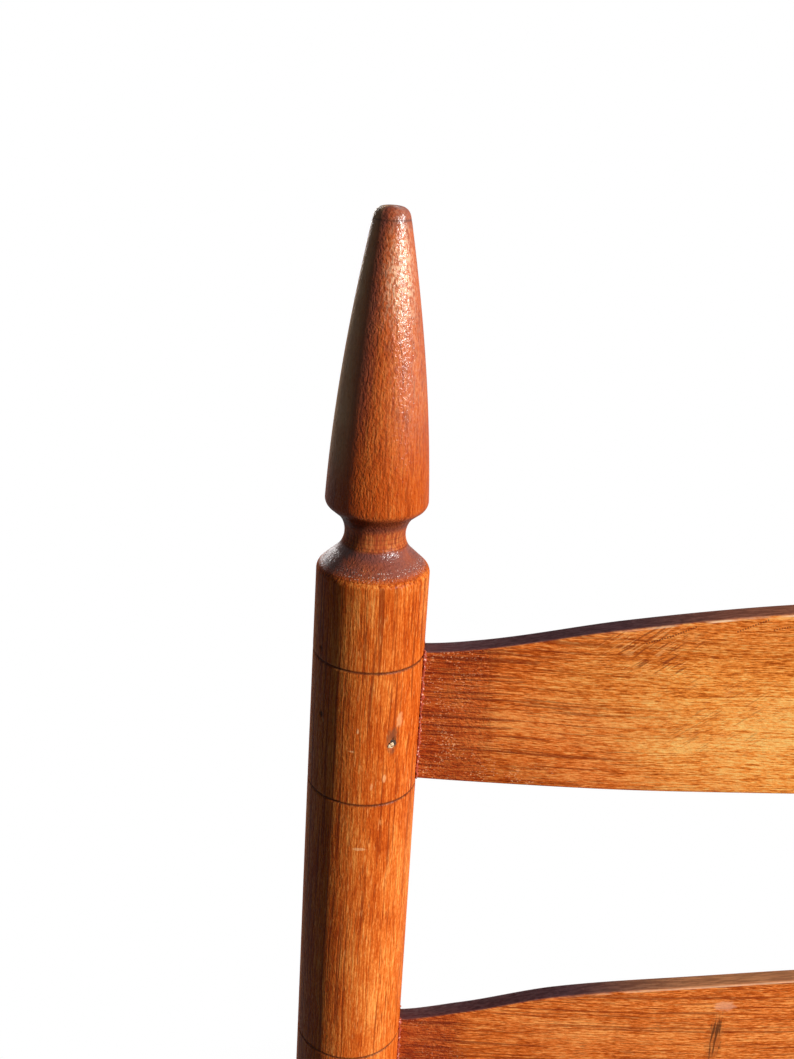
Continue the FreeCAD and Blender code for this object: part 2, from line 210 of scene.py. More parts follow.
def hand_work(angle, height, size, seed):
    """Soft unevenness of hand work: waves round the piece times waves along it, about size high."""
    waves = np.random.default_rng(seed)
    total = np.zeros(np.broadcast(angle, height).shape)
    for turns in range(1, 6):
        phase = waves.uniform(0, 2 * math.pi, 2)
        pitch = waves.uniform(40, 300) * MM
        along = np.sin(height / pitch * 2 * math.pi + phase[1])
        total = total + np.sin(turns * angle + phase[0]) * along / turns
    return size * total


def plain_looks(angle, height):
    looks = {label: 0 * height for label in ("line", "grime", "dust", "yellowed", "haze")}
    return {**looks, "varnish": 0 * height + thin_varnish}


def turned_piece(name, profile, base, axis, across, slot, material, seed, angles=96, looks=plain_looks,
                 dents=None):
    """Turned piece: each (radius, height) of the profile becomes a ring round the axis.

    Point = base + height * axis + radius * (cos(angle) * across + sin(angle) * side), where the radius is a
    little uneven and dents(angle, height) is taken off it. The ends are closed by fans."""
    axis = np.array(axis, float) / np.linalg.norm(axis)
    side = np.cross(axis, across)
    side = side / np.linalg.norm(side)
    across = np.cross(side, axis)
    radius, height = profile[:, 0:1], profile[:, 1:2]
    if isinstance(angles, int):
        angles = np.linspace(0, 2 * math.pi, angles, endpoint=False)
    angle = angles[None, :]
    uneven = hand_work(angle, height, 0.07 * MM, seed) - 0.15 * MM
    rough = radius + uneven * np.clip(radius / (8 * MM), 0, 1)
    if dents is not None:
        rough = rough - dents(angle, height)
    level = np.broadcast_to(height, rough.shape)
    out = np.stack([rough * np.cos(angle), rough * np.sin(angle), level], axis=-1)
    turn = np.stack([across, side, axis])
    low, high = np.array([0, 0, profile[0, 1]]), np.array([0, 0, profile[-1, 1]])
    local = with_ends(out, low, high)
    rows, around = rough.shape
    shift = np.random.default_rng(seed).uniform(-0.5, 0.5, 3)
    attributes = {"grain": local + shift, "place": local}
    for label, values in looks(angle, height).items():
        attributes[label] = with_ends(np.broadcast_to(values, rough.shape), values[0, 0], values[-1, 0])
    points = np.array(base) + local @ turn
    points[:, 2] = np.maximum(points[:, 2], 0)
    faces = (tube_faces(rows, around), cap_faces(rows, around))
    return new_piece(name, points, *faces, slot, material, attributes)


# Profiles

def rows_between(low, high, step, marks=(), close=1.2 * MM, fine=0.15 * MM):
    """Heights from low to high at a coarse step, with close rows round each mark."""
    heights = [np.arange(low, high, step), [high]]
    heights += [np.arange(mark - close, mark + close, fine) for mark in marks]
    merged = np.unique(np.round(np.concatenate(heights), 6))
    return merged[(merged >= low) & (merged <= high)]


def scribed(radius, height, marks):
    """Radius with a rounded V cut at each mark."""
    for mark in marks:
        radius = radius - scribe_depth * bell(height, mark, scribe_half_width)
    return radius


def tangent_arc(tangent, end, count):
    """Arc in (radius, height) that leaves tangent upright and ends at end, nearer the axis."""
    run = tangent[0] - end[0]
    rise = end[1] - tangent[1]
    radius = (run * run + rise * rise) / (2 * run)
    turn = np.linspace(0, math.atan2(rise, end[0] - tangent[0] + radius), count)
    return np.stack([tangent[0] - radius + radius * np.cos(turn), tangent[1] + radius * np.sin(turn)], axis=1)


def straight(start, end, count):
    """Evenly spaced points in (radius, height) from start to end."""
    share = np.linspace(0, 1, count)[:, None]
    return np.array(start) * (1 - share) + np.array(end) * share


def dome(outer, inner, count):
    """Quarter ellipse in (radius, height) from the upright side at outer to the level top at inner."""
    turn = np.linspace(0, math.pi / 2, count)
    radius = inner[0] + (outer[0] - inner[0]) * np.cos(turn)
    height = outer[1] + (inner[1] - outer[1]) * np.sin(turn)
    return np.stack([radius, height], axis=1)


def slat_bottom(index):
    return shoulder - top_slat_drop - index * slat_pitch


def rear_scribes():
    low = [slat_bottom(index) - slat_scribe_drop for index in range(4)]
    return low + [height + slat_scribe_spacing for height in low]


def rear_radius(height):
    """Radius that swells from the foot to the seat and narrows to the shoulder, both in straight lines."""
    radii = [rear_foot_radius, rear_widest_radius, shoulder_radius]
    return np.interp(height, [0, rear_widest, shoulder], radii)


def leaning_radius(height):
    """Radius of a rear post at a height above the floor."""
    return rear_radius(height / math.cos(rake))


def front_radius(height):
    """Radius that swells from the foot to the seat rails and narrows a little to the top."""
    heights = [0, seat_rail_height, front_top]
    return np.interp(height, heights, [front_foot_radius, front_widest_radius, front_top_radius])


def cone_radius(above):
    """Radius of the finial's cone at a height above the shoulder: a cubic, steeper towards the tip."""
    share = (above / MM - 20.3) / 78.5
    return (15.25 - 3.75 * share - 6.48 * share ** 2 + 0.48 * share ** 3) * MM


def rear_profile():
    """The rear post from the foot to the tip of its finial, as (radius, height)."""
    marks = rear_scribes()
    body_top = shoulder - 2.2 * MM
    body = rows_between(-3 * MM, body_top, 5 * MM, marks, fine=0.2 * MM)
    body = [body, shoulder - pin_drop + np.arange(-4, 4, 0.25) * MM]
    body += [shoulder - drop + np.arange(-1.6, 1.6, 0.4) * MM for drop in knock_drops]
    body = np.unique(np.concatenate(body))
    post = np.stack([scribed(rear_radius(body), body, marks), body], axis=1)
    edge = (16.3 * MM, shoulder - 0.4 * MM)
    neck, neck_radius, cove = shoulder + 9.95 * MM, 9.15 * MM, 8.46 * MM
    swing = np.linspace(-5.8, 5.8, 81) * MM
    hollow = np.stack([neck_radius + cove - np.sqrt(cove ** 2 - swing ** 2), neck + swing], axis=1)
    lip = (14.4 * MM, shoulder + 18.2 * MM)
    base = (cone_radius(20.3 * MM), shoulder + 20.3 * MM)
    above = np.linspace(20.3, 98.8, 56) * MM
    cone = np.stack([cone_radius(above), shoulder + above], axis=1)
    tip = shoulder + 98.8 * MM
    rise = np.sin(np.linspace(0, math.pi / 2, 26))[1:-1]
    cap_tall = 4.0 * MM
    cap = (5.45 * MM - 0.17 * cap_tall * rise) * (1 - rise ** 3.4) ** (1 / 3.4)
    cap = np.stack([cap, tip + cap_tall * rise], axis=1)
    parts = [post[:-1], tangent_arc((rear_radius(body_top), body_top), edge, 9)]
    parts += [straight(edge, hollow[0], 12)[1:-1], hollow, straight(hollow[-1], lip, 8)[1:-1]]
    parts += [tangent_arc(base, lip, 9)[::-1][:-1], cone, cap]
    return np.concatenate(parts)


def front_profile():
    """The front post: a tapered foot, a shallow neck above the seat and a domed top."""
    dome_base = front_top - 9 * MM
    neck_low = dome_base - 9 * MM
    marks = list(front_rungs.values()) + list(side_rungs.values())
    body = rows_between(1.5 * MM, neck_low, 3.2 * MM, marks)
    foot = np.array([[13.0 * MM, 0.0], [13.9 * MM, 0.5 * MM]])
    post = np.stack([scribed(front_radius(body), body, marks), body], axis=1)
    share = np.linspace(0, 1, 17)[1:-1]
    level = neck_low + share * 9 * MM
    neck = np.stack([front_radius(level) - 2.2 * MM * np.sin(share * math.pi) ** 0.8, level], axis=1)
    cap = dome((front_radius(dome_base), dome_base), (8 * MM, front_top), 16)
    return np.concatenate([foot, post, neck, cap, straight(cap[-1], (0.5 * MM, front_top), 6)[1:]])


def rung_profile(low, high, start, end, middle, taper):
    """A rung or rail: tenons from start to low and high to end, and a swell or a tapered body between."""
    if taper is None:
        share = np.linspace(0, 1, 90)
        swell = tenon_radius + (middle - tenon_radius) * 4 * share * (1 - share)
        body = np.stack([swell, low + share * (high - low)], axis=1)
    else:
        body = np.concatenate([
            straight((tenon_radius, low), (middle, low + taper), 8),
            straight((middle, low + taper), (middle, high - taper), 40)[1:],
            straight((middle, high - taper), (tenon_radius, high), 8)[1:],
        ])
    first = straight((tenon_radius, start), (tenon_radius, low), 6)[:-1]
    last = straight((tenon_radius, high), (tenon_radius, end), 6)[1:]
    return np.concatenate([first, body, last])


# Places

def lean(points):
    """Points from the upright frame of the rear posts to their leaning place in the chair."""
    x, y, z = points[..., 0], points[..., 1], points[..., 2]
    back = rear_foot_y + y * math.cos(rake) + z * math.sin(rake)
    return np.stack([x, back, z * math.cos(rake) - y * math.sin(rake)], axis=-1)


def front_axis(side, height):
    return np.array([side * half_front, front_y, height])


def rear_axis(side, height):
    return np.array([side * half_rear, rear_foot_y + height * math.tan(rake), height])


# Wooden pieces

def scribe_grime(height, scribes):
    """Dirt in the scribed lines at the given heights, 1 at each line and 0 beside it."""
    return np.clip(sum(bell(height, mark, 0.45 * MM) for mark in scribes), 0, 1)


def between(height, low, high, soft):
    """1 between two heights and 0 outside, with soft ends."""
    return smooth_step(height, low - soft, low + soft) * (1 - smooth_step(height, high - soft, high + soft))


def front_post_looks(angle, height):
    line = scribe_grime(height, [*front_rungs.values(), *side_rungs.values()])
    return {**plain_looks(angle, height), "line": line}


# Looks of the rear posts, in millimetres above the shoulder, and in degrees from +X towards the back
turned_lines = (6.9, 7.7, 9.1, 10.4)
tip_groove = 99.4
# Dark bands as (share, low, high, soft): dirt and painted shade on the shoulder's upward slope, painted shade
# under the cone's lip, and darker round the neck
dirt_and_shade_bands = ((0.80, 0.7, 6.5, 0.7), (0.5, 13, 18.4, 1.4), (0.42, 5, 15, 2))
# Painted shade: a dark band down one side of the finial, by the edge of its lit side
shade_side, shade_spread = 57, 14
# Painted reflection of the surroundings: a light olive band on the finial's side towards +X
reflection_side, reflection_spread = 15, 30
thick_side, thick_spread = 124, 29
# Painted highlight: a pale speckled patch on the finial's back, where the key light's highlight falls
highlight_side, highlight_spread = 108, 30


def rear_post_looks(angle, height):
    """Dirt in the lines; darker round the neck and at the cap; painted shade under the cone's lip and in a
    band down one side of the finial; dirt and painted shade on the shoulder, with pale specks of dust and
    painted glints; varnish that dried thicker on the finial's back, with a painted highlight there; and a
    painted reflection of the surroundings on the finial's side towards +X."""
    above = height - shoulder

    def facing(side, spread):
        return bell(angle, math.radians(side), math.radians(spread))

    line = scribe_grime(height, rear_scribes())
    for turned_line in turned_lines:
        line = line + 0.4 * bell(above, turned_line * MM, 0.16 * MM)
    line = line + 0.9 * bell(above, tip_groove * MM, 0.24 * MM)
    # Painted shade under the cone's lip, in the colour of the lines
    line = line + 0.4 * between(above, *mm(13.5, 18.4, 1.4))
    # Dirt, painted shade and darkening, all in one mask
    grime = sum(share * between(above, *mm(*band)) for share, *band in dirt_and_shade_bands)
    # Painted shade: the dark band down one side of the finial
    grime = grime + 0.75 * (facing(shade_side, shade_spread) * smooth_step(above, *mm(30, 65)))
    # Darker at the cap's top
    grime = grime + 0.5 * smooth_step(above, *mm(96, 99))
    # Painted reflection: the olive band on the finial's +X side
    away = (angle + math.pi - math.radians(reflection_side)) % (2 * math.pi) - math.pi
    yellowed = bell(away, 0, math.radians(reflection_spread), 4) * smooth_step(above, *mm(20, 45))
    back = facing(thick_side, thick_spread)
    finial_back = back * smooth_step(above, *mm(25, 60))
    varnish = thin_varnish + (finial_thinnest - thin_varnish) * smooth_step(above, *mm(8, 20))
    varnish = varnish + (finial_varnish - finial_thinnest) * finial_back
    thicker = (shoulder_varnish - thin_varnish) * (0.3 + 0.7 * back)
    varnish = varnish + thicker * between(above, *mm(0.1, 6.5, 0.6))
    # Painted highlight: pale specks on the finial's back, strongest near its top
    haze = 0.14 * finial_back + 0.80 * facing(highlight_side, highlight_spread) * between(above, *mm(76, 96, 12))
    return {
        "line": np.clip(line, 0, 1),
        "grime": np.clip(grime, 0, 1),
        # Pale specks on the shoulder: dust and painted glints
        "dust": 0.7 * between(above, *mm(0.3, 2.4, 0.6)),
        "yellowed": yellowed,
        "haze": haze,
        "varnish": varnish,
    }


def pin_angle(side):
    """Angle round a rear post at which the top slat's pin was driven, from behind and towards the slat."""
    inwards = math.asin(pin_inset / rear_radius(shoulder - pin_drop))
    return math.pi / 2 + side * inwards


def rear_dents(side):
    """Small hollows in a rear post: the pin's hole, and two knocks on the outer side."""
    def dents(angle, height):
        total = np.zeros(np.broadcast(angle, height).shape)
        hollows = [(pin_angle(side), pin_drop, 1.25, 1.9, 0.55)]
        hollows.append((math.pi / 2 - side * math.radians(63.1), knock_drops[0], 0.6, 0.9, 0.35))
        hollows.append((math.pi / 2 - side * math.radians(58.1), knock_drops[1], 0.7, 1.0, 0.35))
        for at, drop, half_width, half_height, depth in hollows:
            across = (angle - at) * shoulder_radius / (half_width * MM)
            up = (height - shoulder + drop) / (half_height * MM)
            total = total + depth * MM * np.exp(-(across ** 2 + up ** 2) ** 1.6)
        return total
    return dents


def rear_angles(side):
    """Angles round a rear post, close together at the pin's hole and at the knocks."""
    even = np.linspace(0, 2 * math.pi, 120, endpoint=False)
    close = [pin_angle(side) + np.radians(np.arange(-10, 10, 0.7))]
    close.append(math.pi / 2 - side * np.radians(60.6) + np.radians(np.arange(-7, 7, 0.8)))
    merged = np.unique(np.round(np.concatenate([even] + close) % (2 * math.pi), 5))
    return merged[np.append(np.diff(merged) > 0.002, True)]


def rear_post(side_name, side, material):
    name = "rear_post_" + side_name
    base = (side * half_rear, rear_foot_y, 0)
    axis = (0, math.sin(rake), math.cos(rake))
    post = turned_piece(name + "_turned", rear_profile(), base, axis, (1, 0, 0), "post_wood", material,
                        3 + side, rear_angles(side), rear_post_looks, rear_dents(side))
    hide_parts(name)


def pin_filler(side_name, side, material):
    """A lump of filler in the hole of a pin: half an egg that stands out of the post, with lumps."""
    angle = pin_angle(side) - side * math.radians(1.0)
    reach = rear_radius(shoulder - pin_drop)
    outwards = np.array([math.cos(angle), math.sin(angle)])
    upright = np.array([*(outwards * reach + (side * half_rear, 0)), shoulder - pin_drop - 0.5 * MM])
    base = lean(upright)
    tip = lean(upright + np.array([*outwards, 0])) - base
    turn = np.linspace(-1.45, 1.45, 17)
    profile = np.stack([1.0 * np.cos(turn), 0.3 * np.sin(turn) - 0.16], axis=1) * MM

    def lumps(around, height):
        waves = np.sin(2 * around + 1) + 0.7 * np.sin(3 * around + height * 3500)
        return 0.09 * MM * (waves + 0.5 * np.sin(7 * around + 2))

    turned_piece("pin_filler_" + side_name, profile, base, tip, (0, 0, 1), "post_wood", material, 80, 40,
                 dents=lumps)


def joint_beads(material):
    """Varnish that ran into the corners between the slats and the rear posts and dried as thin ragged beads.

    Each bead follows the corner: at every height, the place where the face of the slat meets the round post.
    Ring radius = 0.5 mm * (1 + ragged), where ragged is smoothed random noise."""
    luck = np.random.default_rng(31)
    bend, centre, _ = slat_arc()
    angle = np.linspace(0, 2 * math.pi, 8, endpoint=False)
    ring = np.stack([np.cos(angle), np.sin(angle), 0 * angle], axis=1)
    tubes = []
    for index, side, face in itertools.product(range(4), (-1, 1), (-1, 1)):
        thickness, end_height, _, _ = slat_shape(index)
        height = np.arange(0.3 * MM, end_height + 1.2 * MM, 0.4 * MM) + slat_bottom(index)
        post = rear_radius(height)
        inwards = post
        for _ in range(6):
            x = half_rear - inwards
            y = centre + np.sqrt((bend + face * thickness / 2) ** 2 - x ** 2)
            inwards = np.sqrt(post ** 2 - y ** 2)
        x = side * (half_rear - inwards - 0.1 * MM)
        path = np.stack([x, y + face * 0.1 * MM, height], axis=1)
        ragged = luck.normal(0, 1, (len(height), 8))
        ragged = ragged + np.roll(ragged, 1, axis=0) + 0.7 * np.roll(ragged, 1, axis=1)
        radius = 0.5 * MM * np.clip(1 + 0.3 * ragged, 0.35, 2.2)[..., None]
        rings = lean(path[:, None, :] + radius * ring)
        tubes.append((rings, rings[0].mean(axis=0), rings[-1].mean(axis=0)))
    points, quads, triangles = gathered(tubes)
    new_piece("joint_beads", points, quads, triangles, "post_wood", material, {"grain": points})


def front_post(side_name, side, material):
    name = "front_post_" + side_name
    post = turned_piece(name + "_turned", front_profile(), front_axis(side, 0), (0, 0, 1), (1, 0, 0),
                        "post_wood", material, 9 + side, 96, front_post_looks)
    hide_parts(name)


def rung(name, start, end, radii, middle, slot, material, seed, taper=None):
    """One rung or rail on the line between two post axes, where the posts have the given radii."""
    run = end - start
    length = np.linalg.norm(run)
    low = radii[0] + tenon_show
    high = length - radii[1] - tenon_show
    profile = rung_profile(low, high, radii[0] - tenon_depth, length - radii[1] + tenon_depth, middle, taper)
    piece = turned_piece(name + "_turned", profile, start, run, (0, 0, 1), slot, material, seed, 56)
    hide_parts(name)


def all_rungs(rung_wood, rail_wood):
    """Every rung and seat rail, listed by name, height and the two posts that it joins."""
    front, rear = (front_axis, front_radius), (rear_axis, leaning_radius)
    front_pair, rear_pair = ((*front, -1), (*front, 1)), ((*rear, -1), (*rear, 1))
    bars = [("front_rung_" + level, height, front_pair) for level, height in front_rungs.items()]
    bars.append(("rear_rung", rear_rung, rear_pair))
    bars.append(("seat_rail_front", seat_rail_height, front_pair))
    bars.append(("seat_rail_back", seat_rail_height, rear_pair))
    for side_name, side in sides.items():
        side_pair = ((*front, side), (*rear, side))
        bars += [(side_name + "_rung_" + level, height, side_pair) for level, height in side_rungs.items()]
        bars.append(("seat_rail_" + side_name, seat_rail_height + side_rail_lift, side_pair))
    for seed, (name, height, posts) in enumerate(bars, 40):
        ends = [axis(side, height) for axis, _, side in posts]
        radii = [radius(height) for _, radius, _ in posts]
        if name.startswith("seat_rail"):
            rung(name, *ends, radii, rail_radius, "rail_wood", rail_wood, seed, rail_taper)
        else:
            rung(name, *ends, radii, rung_radius, "rung_wood", rung_wood, seed)


def smooth_through(x, knots, values):
    """Cubic curve through the knots, level at both ends, with each inner slope that of its two neighbours."""
    knots = np.array(knots)
    values = np.array(values)
    slopes = np.zeros(len(knots))
    slopes[1:-1] = (values[2:] - values[:-2]) / (knots[2:] - knots[:-2])
    at = np.clip(np.searchsorted(knots, x, side="right") - 1, 0, len(knots) - 2)
    width = knots[at + 1] - knots[at]
    t = np.clip((x - knots[at]) / width, 0, 1)
    rise = values[at + 1] - values[at]
    lead = slopes[at] * width
    tail = slopes[at + 1] * width
    return values[at] + lead * t + (3 * rise - 2 * lead - tail) * t ** 2 + (lead + tail - 2 * rise) * t ** 3


def slat_shape(index):
    """Thickness, end height and the top edge's knots of a slat: distances from the post axis and rises."""
    if index == 0:
        return 7.0 * MM, 44.6 * MM, (12, 34, 77, 126, 170), (0, 2.6, 12.0, 19.0, 20.6)
    return 5.8 * MM, 46.8 * MM, (12, 38, 70, 112, 170), (0, 5.5, 14.6, 20.0, 23.4)


def slat_arc():
    """Radius of the arc that the slats follow in plan, its centre's Y, and half the angle of a slat."""
    radius = (half_rear ** 2 + slat_bow ** 2) / (2 * slat_bow)
    widest = math.asin(half_rear / radius) + slat_tenon_past_axis / radius
    return radius, slat_bow - slat_set_forward - radius, widest


def slat_section(half, low, high):
    """Closed outlines across a slat as (out, up), with rounded corners, from the back face's bottom upwards.

    out runs from -half at the front face to half at the back face. low and high hold the edges' heights."""
    corner = np.linspace(0, math.pi / 2, 6)
    face = np.linspace(0, 1, 26)[1:-1]
    low = low[:, None] + slat_edge
    high = high[:, None] - slat_edge
    flat = half - slat_edge
    out, up = [], []
    quarter = math.pi / 2
    for towards, start, base in ((1, -quarter, low), (1, 0, high), (-1, quarter, high), (-1, math.pi, low)):
        round_corner = towards * flat + slat_edge * np.cos(start + corner)
        out.append(np.broadcast_to(round_corner, (len(low), len(corner))))
        up.append(base + slat_edge * np.sin(start + corner))
        if start in (-quarter, quarter):
            rise = face if towards == 1 else 1 - face
            out.append(np.full((len(low), len(face)), towards * half))
            up.append(low + rise * (high - low))
    return np.concatenate(out, axis=1), np.concatenate(up, axis=1)


def slat(index, material):
    """A bent slat: its section is carried along an arc that bows to the back, and its top edge is an ogee.

    Point = centre of the arc + (arc radius + out) * (sin(turn), cos(turn)) in plan, and up along a post."""
    thickness, end_height, distances, rises = slat_shape(index)
    radius, centre, widest = slat_arc()
    turn = np.linspace(-widest, widest, 300)
    from_post = half_rear - np.abs(radius * np.sin(turn))
    tall = end_height + smooth_through(from_post, np.array(distances) * MM, np.array(rises) * MM)
    bottom = np.full(len(turn), slat_bottom(index))
    out, up = slat_section(thickness / 2, bottom, bottom + tall)
    along = np.broadcast_to(turn[:, None] * radius, up.shape)
    wavy = out + hand_work(up / (60 * MM), along, 0.10 * MM, 20 + index) * np.sign(out)
    reach = radius + wavy
    points = np.stack([reach * np.sin(turn)[:, None], centre + reach * np.cos(turn)[:, None], up], axis=-1)
    points = with_ends(points, points[0].mean(axis=0), points[-1].mean(axis=0))
    rows, around = up.shape
    shift = np.random.default_rng(60 + index).uniform(-0.5, 0.5, 3)
    place = np.stack([out, up - bottom[:, None], along], axis=-1)
    place = with_ends(place, place[0].mean(axis=0), place[-1].mean(axis=0))
    below = up - (bottom + tall)[:, None]
    # The top edge's mask: dirt and painted shade, with a painted mauve sky reflection
    top_edge = smooth_step(below, -0.5 * slat_edge, -0.1 * slat_edge)
    # Pale strip along the back's top arris: partly wear, partly a painted highlight
    arris = smooth_step(below, -0.99 * slat_edge, -0.75 * slat_edge) * (1 - top_edge) * (out > 0)
    arris = arris * (1.0 if index == 0 else 0.55)
    end = (1 - smooth_step(from_post, 28 * MM, 45 * MM))[:, None]
    varnish = (thin_varnish + (slat_end_varnish - thin_varnish) * end) * (1 - 0.7 * top_edge)
    attributes = {
        "grain": place + shift,
        "place": place,
        # The top edge carries dirt and painted shade
        "grime": with_ends(top_edge, 0, 0),
        "varnish": with_ends(varnish, 0.1, 0.1),
        "arris": with_ends(arris, 0, 0),
        "from_post": with_ends(np.broadcast_to(from_post[:, None], up.shape), 0, 0),
    }
    name = "slat_" + str(index + 1)
    quads, triangles = tube_faces(rows, around)[:, ::-1], cap_faces(rows, around)[:, ::-1]
    piece = new_piece(name + "_bent", lean(points), quads, triangles, "slat_wood", material, attributes)
    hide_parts(name)


# Rush seat

def seat_corner(front, side):
    return front_axis(side, seat_rail_height)[:2] if front else rear_axis(side, seat_rail_height)[:2]


def seat_fields():
    """The seat's four fields: the rail's ends, the way inwards, the rail's height and the posts' radii."""
    high = seat_rail_height + side_rail_lift
    front, rear = front_radius(seat_rail_height), rear_radius(rear_widest)
    left, right = seat_corner(True, -1), seat_corner(True, 1)
    back_left, back_right = seat_corner(False, -1), seat_corner(False, 1)
    return {
        "front": (left, right, (0, 1), seat_rail_height, (front, front)),
        "right": (right, back_right, (-1, 0), high, (front, rear)),
        "back": (back_right, back_left, (0, -1), seat_rail_height, (rear, rear)),
        "left": (back_left, left, (1, 0), high, (rear, front)),
    }


def crossing(point, way, start, line):
    """How far a point goes along way until it meets the line that runs from start, in plan."""
    gap = start - point
    return (gap[0] * line[1] - gap[1] * line[0]) / (way[0] * line[1] - way[1] * line[0])


def hairpin(reach, rail_height, middle_height, middle_reach):
    """Middle line of one cord as (inwards, height): out of the seam, over the rail, round it and back below.

    The top run climbs or falls in a straight line towards the middle of the seat, and its last stretch dives
    into the seam along a parabola. The cord fans out there, by up to seam_swell of its thickness."""
    wrap = rail_radius + cord_radius
    turn = np.linspace(math.pi / 2, 3 * math.pi / 2, 14)
    bend = reach - min(seam_dive, 0.6 * reach)
    run = np.linspace(bend, 0, max(int(reach / (3 * MM)), 4))[:-1]
    run = np.concatenate([np.linspace(reach, bend, 7)[:-1], run])
    slope = (middle_height - cord_radius - rail_height - wrap) / middle_reach
    dive = np.clip(1 - (reach - run) / seam_dive, 0, 1) ** 2
    top = rail_height + wrap + slope * run - dive * top_dive
    low = rail_height - wrap + 0.2 * slope * run + dive * low_dive
    inwards = np.concatenate([run, wrap * np.cos(turn), run[::-1]])
    height = np.concatenate([top, rail_height + wrap * np.sin(turn), low[::-1]])
    thickness = 1 + seam_swell * np.concatenate([np.sqrt(dive), 0 * turn, np.sqrt(dive[::-1])])
    return inwards, height, thickness


def cord_tube(path, sideways, first_twist, radius, around=10):
    """Rings of a two-strand cord along a path in an upright plane, whose level normal is sideways.

    The radius is one number per point of the path. Ring radius = radius * (1 + 0.09 * cos(2 * (angle -
    twist))), and the twist grows along the path."""
    step = np.gradient(path, axis=0)
    step = step / np.linalg.norm(step, axis=1, keepdims=True)
    third = np.cross(step, sideways)
    travelled = np.concatenate([[0], np.cumsum(np.linalg.norm(np.diff(path, axis=0), axis=1))])
    angle = np.linspace(0, 2 * math.pi, around, endpoint=False)[None, :]
    twist = (first_twist + travelled / strand_twist * 2 * math.pi)[:, None]
    ring = radius[:, None] * (1 + 0.09 * np.cos(2 * (angle - twist)))
    out = np.cos(angle)[..., None] * sideways + np.sin(angle)[..., None] * third[:, None, :]
    fibre = (cord_radius * np.cos(angle - twist), cord_radius * np.sin(angle - twist), travelled[:, None])
    return path[:, None, :] + ring[..., None] * out, np.stack(np.broadcast_arrays(*fibre), axis=-1)


def rush_field(name, material, middle, middle_height, luck):
    """One of the four fields of cords between a rail and the seams that run from its posts to the middle."""
    start, end, way, rail_height, radii = seat_fields()[name]
    way = np.array(way, float)
    rail = end - start
    length = np.linalg.norm(rail)
    margin = cord_radius + 0.7 * MM
    count = int((length - radii[0] - radii[1]) / cord_pitch)
    sideways = np.array([way[1], -way[0], 0])
    middle_reach = (middle - start) @ way
    split = crossing(start, rail, middle, way) * length
    tubes, strand, tone = [], [], []
    for place in np.linspace(radii[0] + margin, length - radii[1] - margin, count):
        spot = start + rail * (place / length) + luck.normal(0, 0.18 * MM) * sideways[:2]
        corner = start if place < split else end
        reach = max(crossing(spot, way, corner, middle - corner) + luck.normal(0, 0.8 * MM), 7 * MM)
        inwards, height, thickness = hairpin(reach, rail_height, middle_height, middle_reach)
        height = height + luck.normal(0, 0.25 * MM)
        path = np.stack([spot[0] + way[0] * inwards, spot[1] + way[1] * inwards, height], axis=1)
        first_twist = luck.uniform(0, 2 * math.pi)
        thickness = thickness * cord_radius * luck.uniform(0.99, 1.07)
        rings, fibre = cord_tube(path, sideways, first_twist, thickness)
        tubes.append((rings, path[0], path[-1]))
        strand.append(with_ends(fibre + luck.uniform(0, 1, 3), fibre[0, 0], fibre[-1, 0]))
        tone.append(np.full(len(strand[-1]), luck.uniform(0, 1)))
    attributes = {"grain": np.concatenate(strand), "tone": np.concatenate(tone)}
    return new_piece("rush_" + name, *gathered(tubes), "rush", material, attributes)


def stuffing(name, material, middle, middle_height):
    """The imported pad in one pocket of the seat, a rounded triangle with lumps.

    Point = middle of the pad + share * edge(angle) on the plan, and half * sqrt(1 - share^4) above and
    below."""
    rows, around = 34, 90
    start, end, _, rail_height, _ = seat_fields()[name]
    corners = np.array([start, end, middle])
    hub = corners.mean(axis=0)
    angle = np.linspace(0, 2 * math.pi, around, endpoint=False)
    out = np.stack([np.cos(angle), np.sin(angle)], axis=1)
    edges = []
    for index, margin in enumerate((rail_radius + 24 * MM, 12 * MM, 12 * MM)):
        line = corners[(index + 1) % 3] - corners[index]
        normal = np.array([line[1], -line[0]]) / np.linalg.norm(line)
        distance = (corners[index] - hub) @ normal - margin
        edges.append(distance / np.maximum(out @ normal, 0.02))
    edge = sum(each ** -5.0 for each in edges) ** -0.2
    share = np.sin(np.linspace(0, math.pi, rows + 2)[1:-1])[:, None]
    above = np.where(np.arange(rows) < rows // 2, -1, 1)[:, None]
    plan = hub + share[..., None] * (edge[:, None] * out)[None]
    lumps = hand_work(angle[None, :], share * 90 * MM, 0.8 * MM, 70) * share
    half = 10 * MM * np.sqrt(1 - share ** 4) + lumps
    rise = rail_height + (middle_height - rush_half - rail_height) / 3
    height = np.broadcast_to(rise + above * half, plan.shape[:2])
    points = np.concatenate([plan, height[..., None]], axis=-1)
    points = with_ends(points, points[0].mean(axis=0), points[-1].mean(axis=0))
    attributes = {"grain": points, "tone": np.full(len(points), 0.4)}
    faces = (tube_faces(rows, around), cap_faces(rows, around))
    piece = new_piece("stuffing_" + name, points, *faces, "stuffing", material, attributes)
    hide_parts("seat_stuffing_" + name)


# Materials

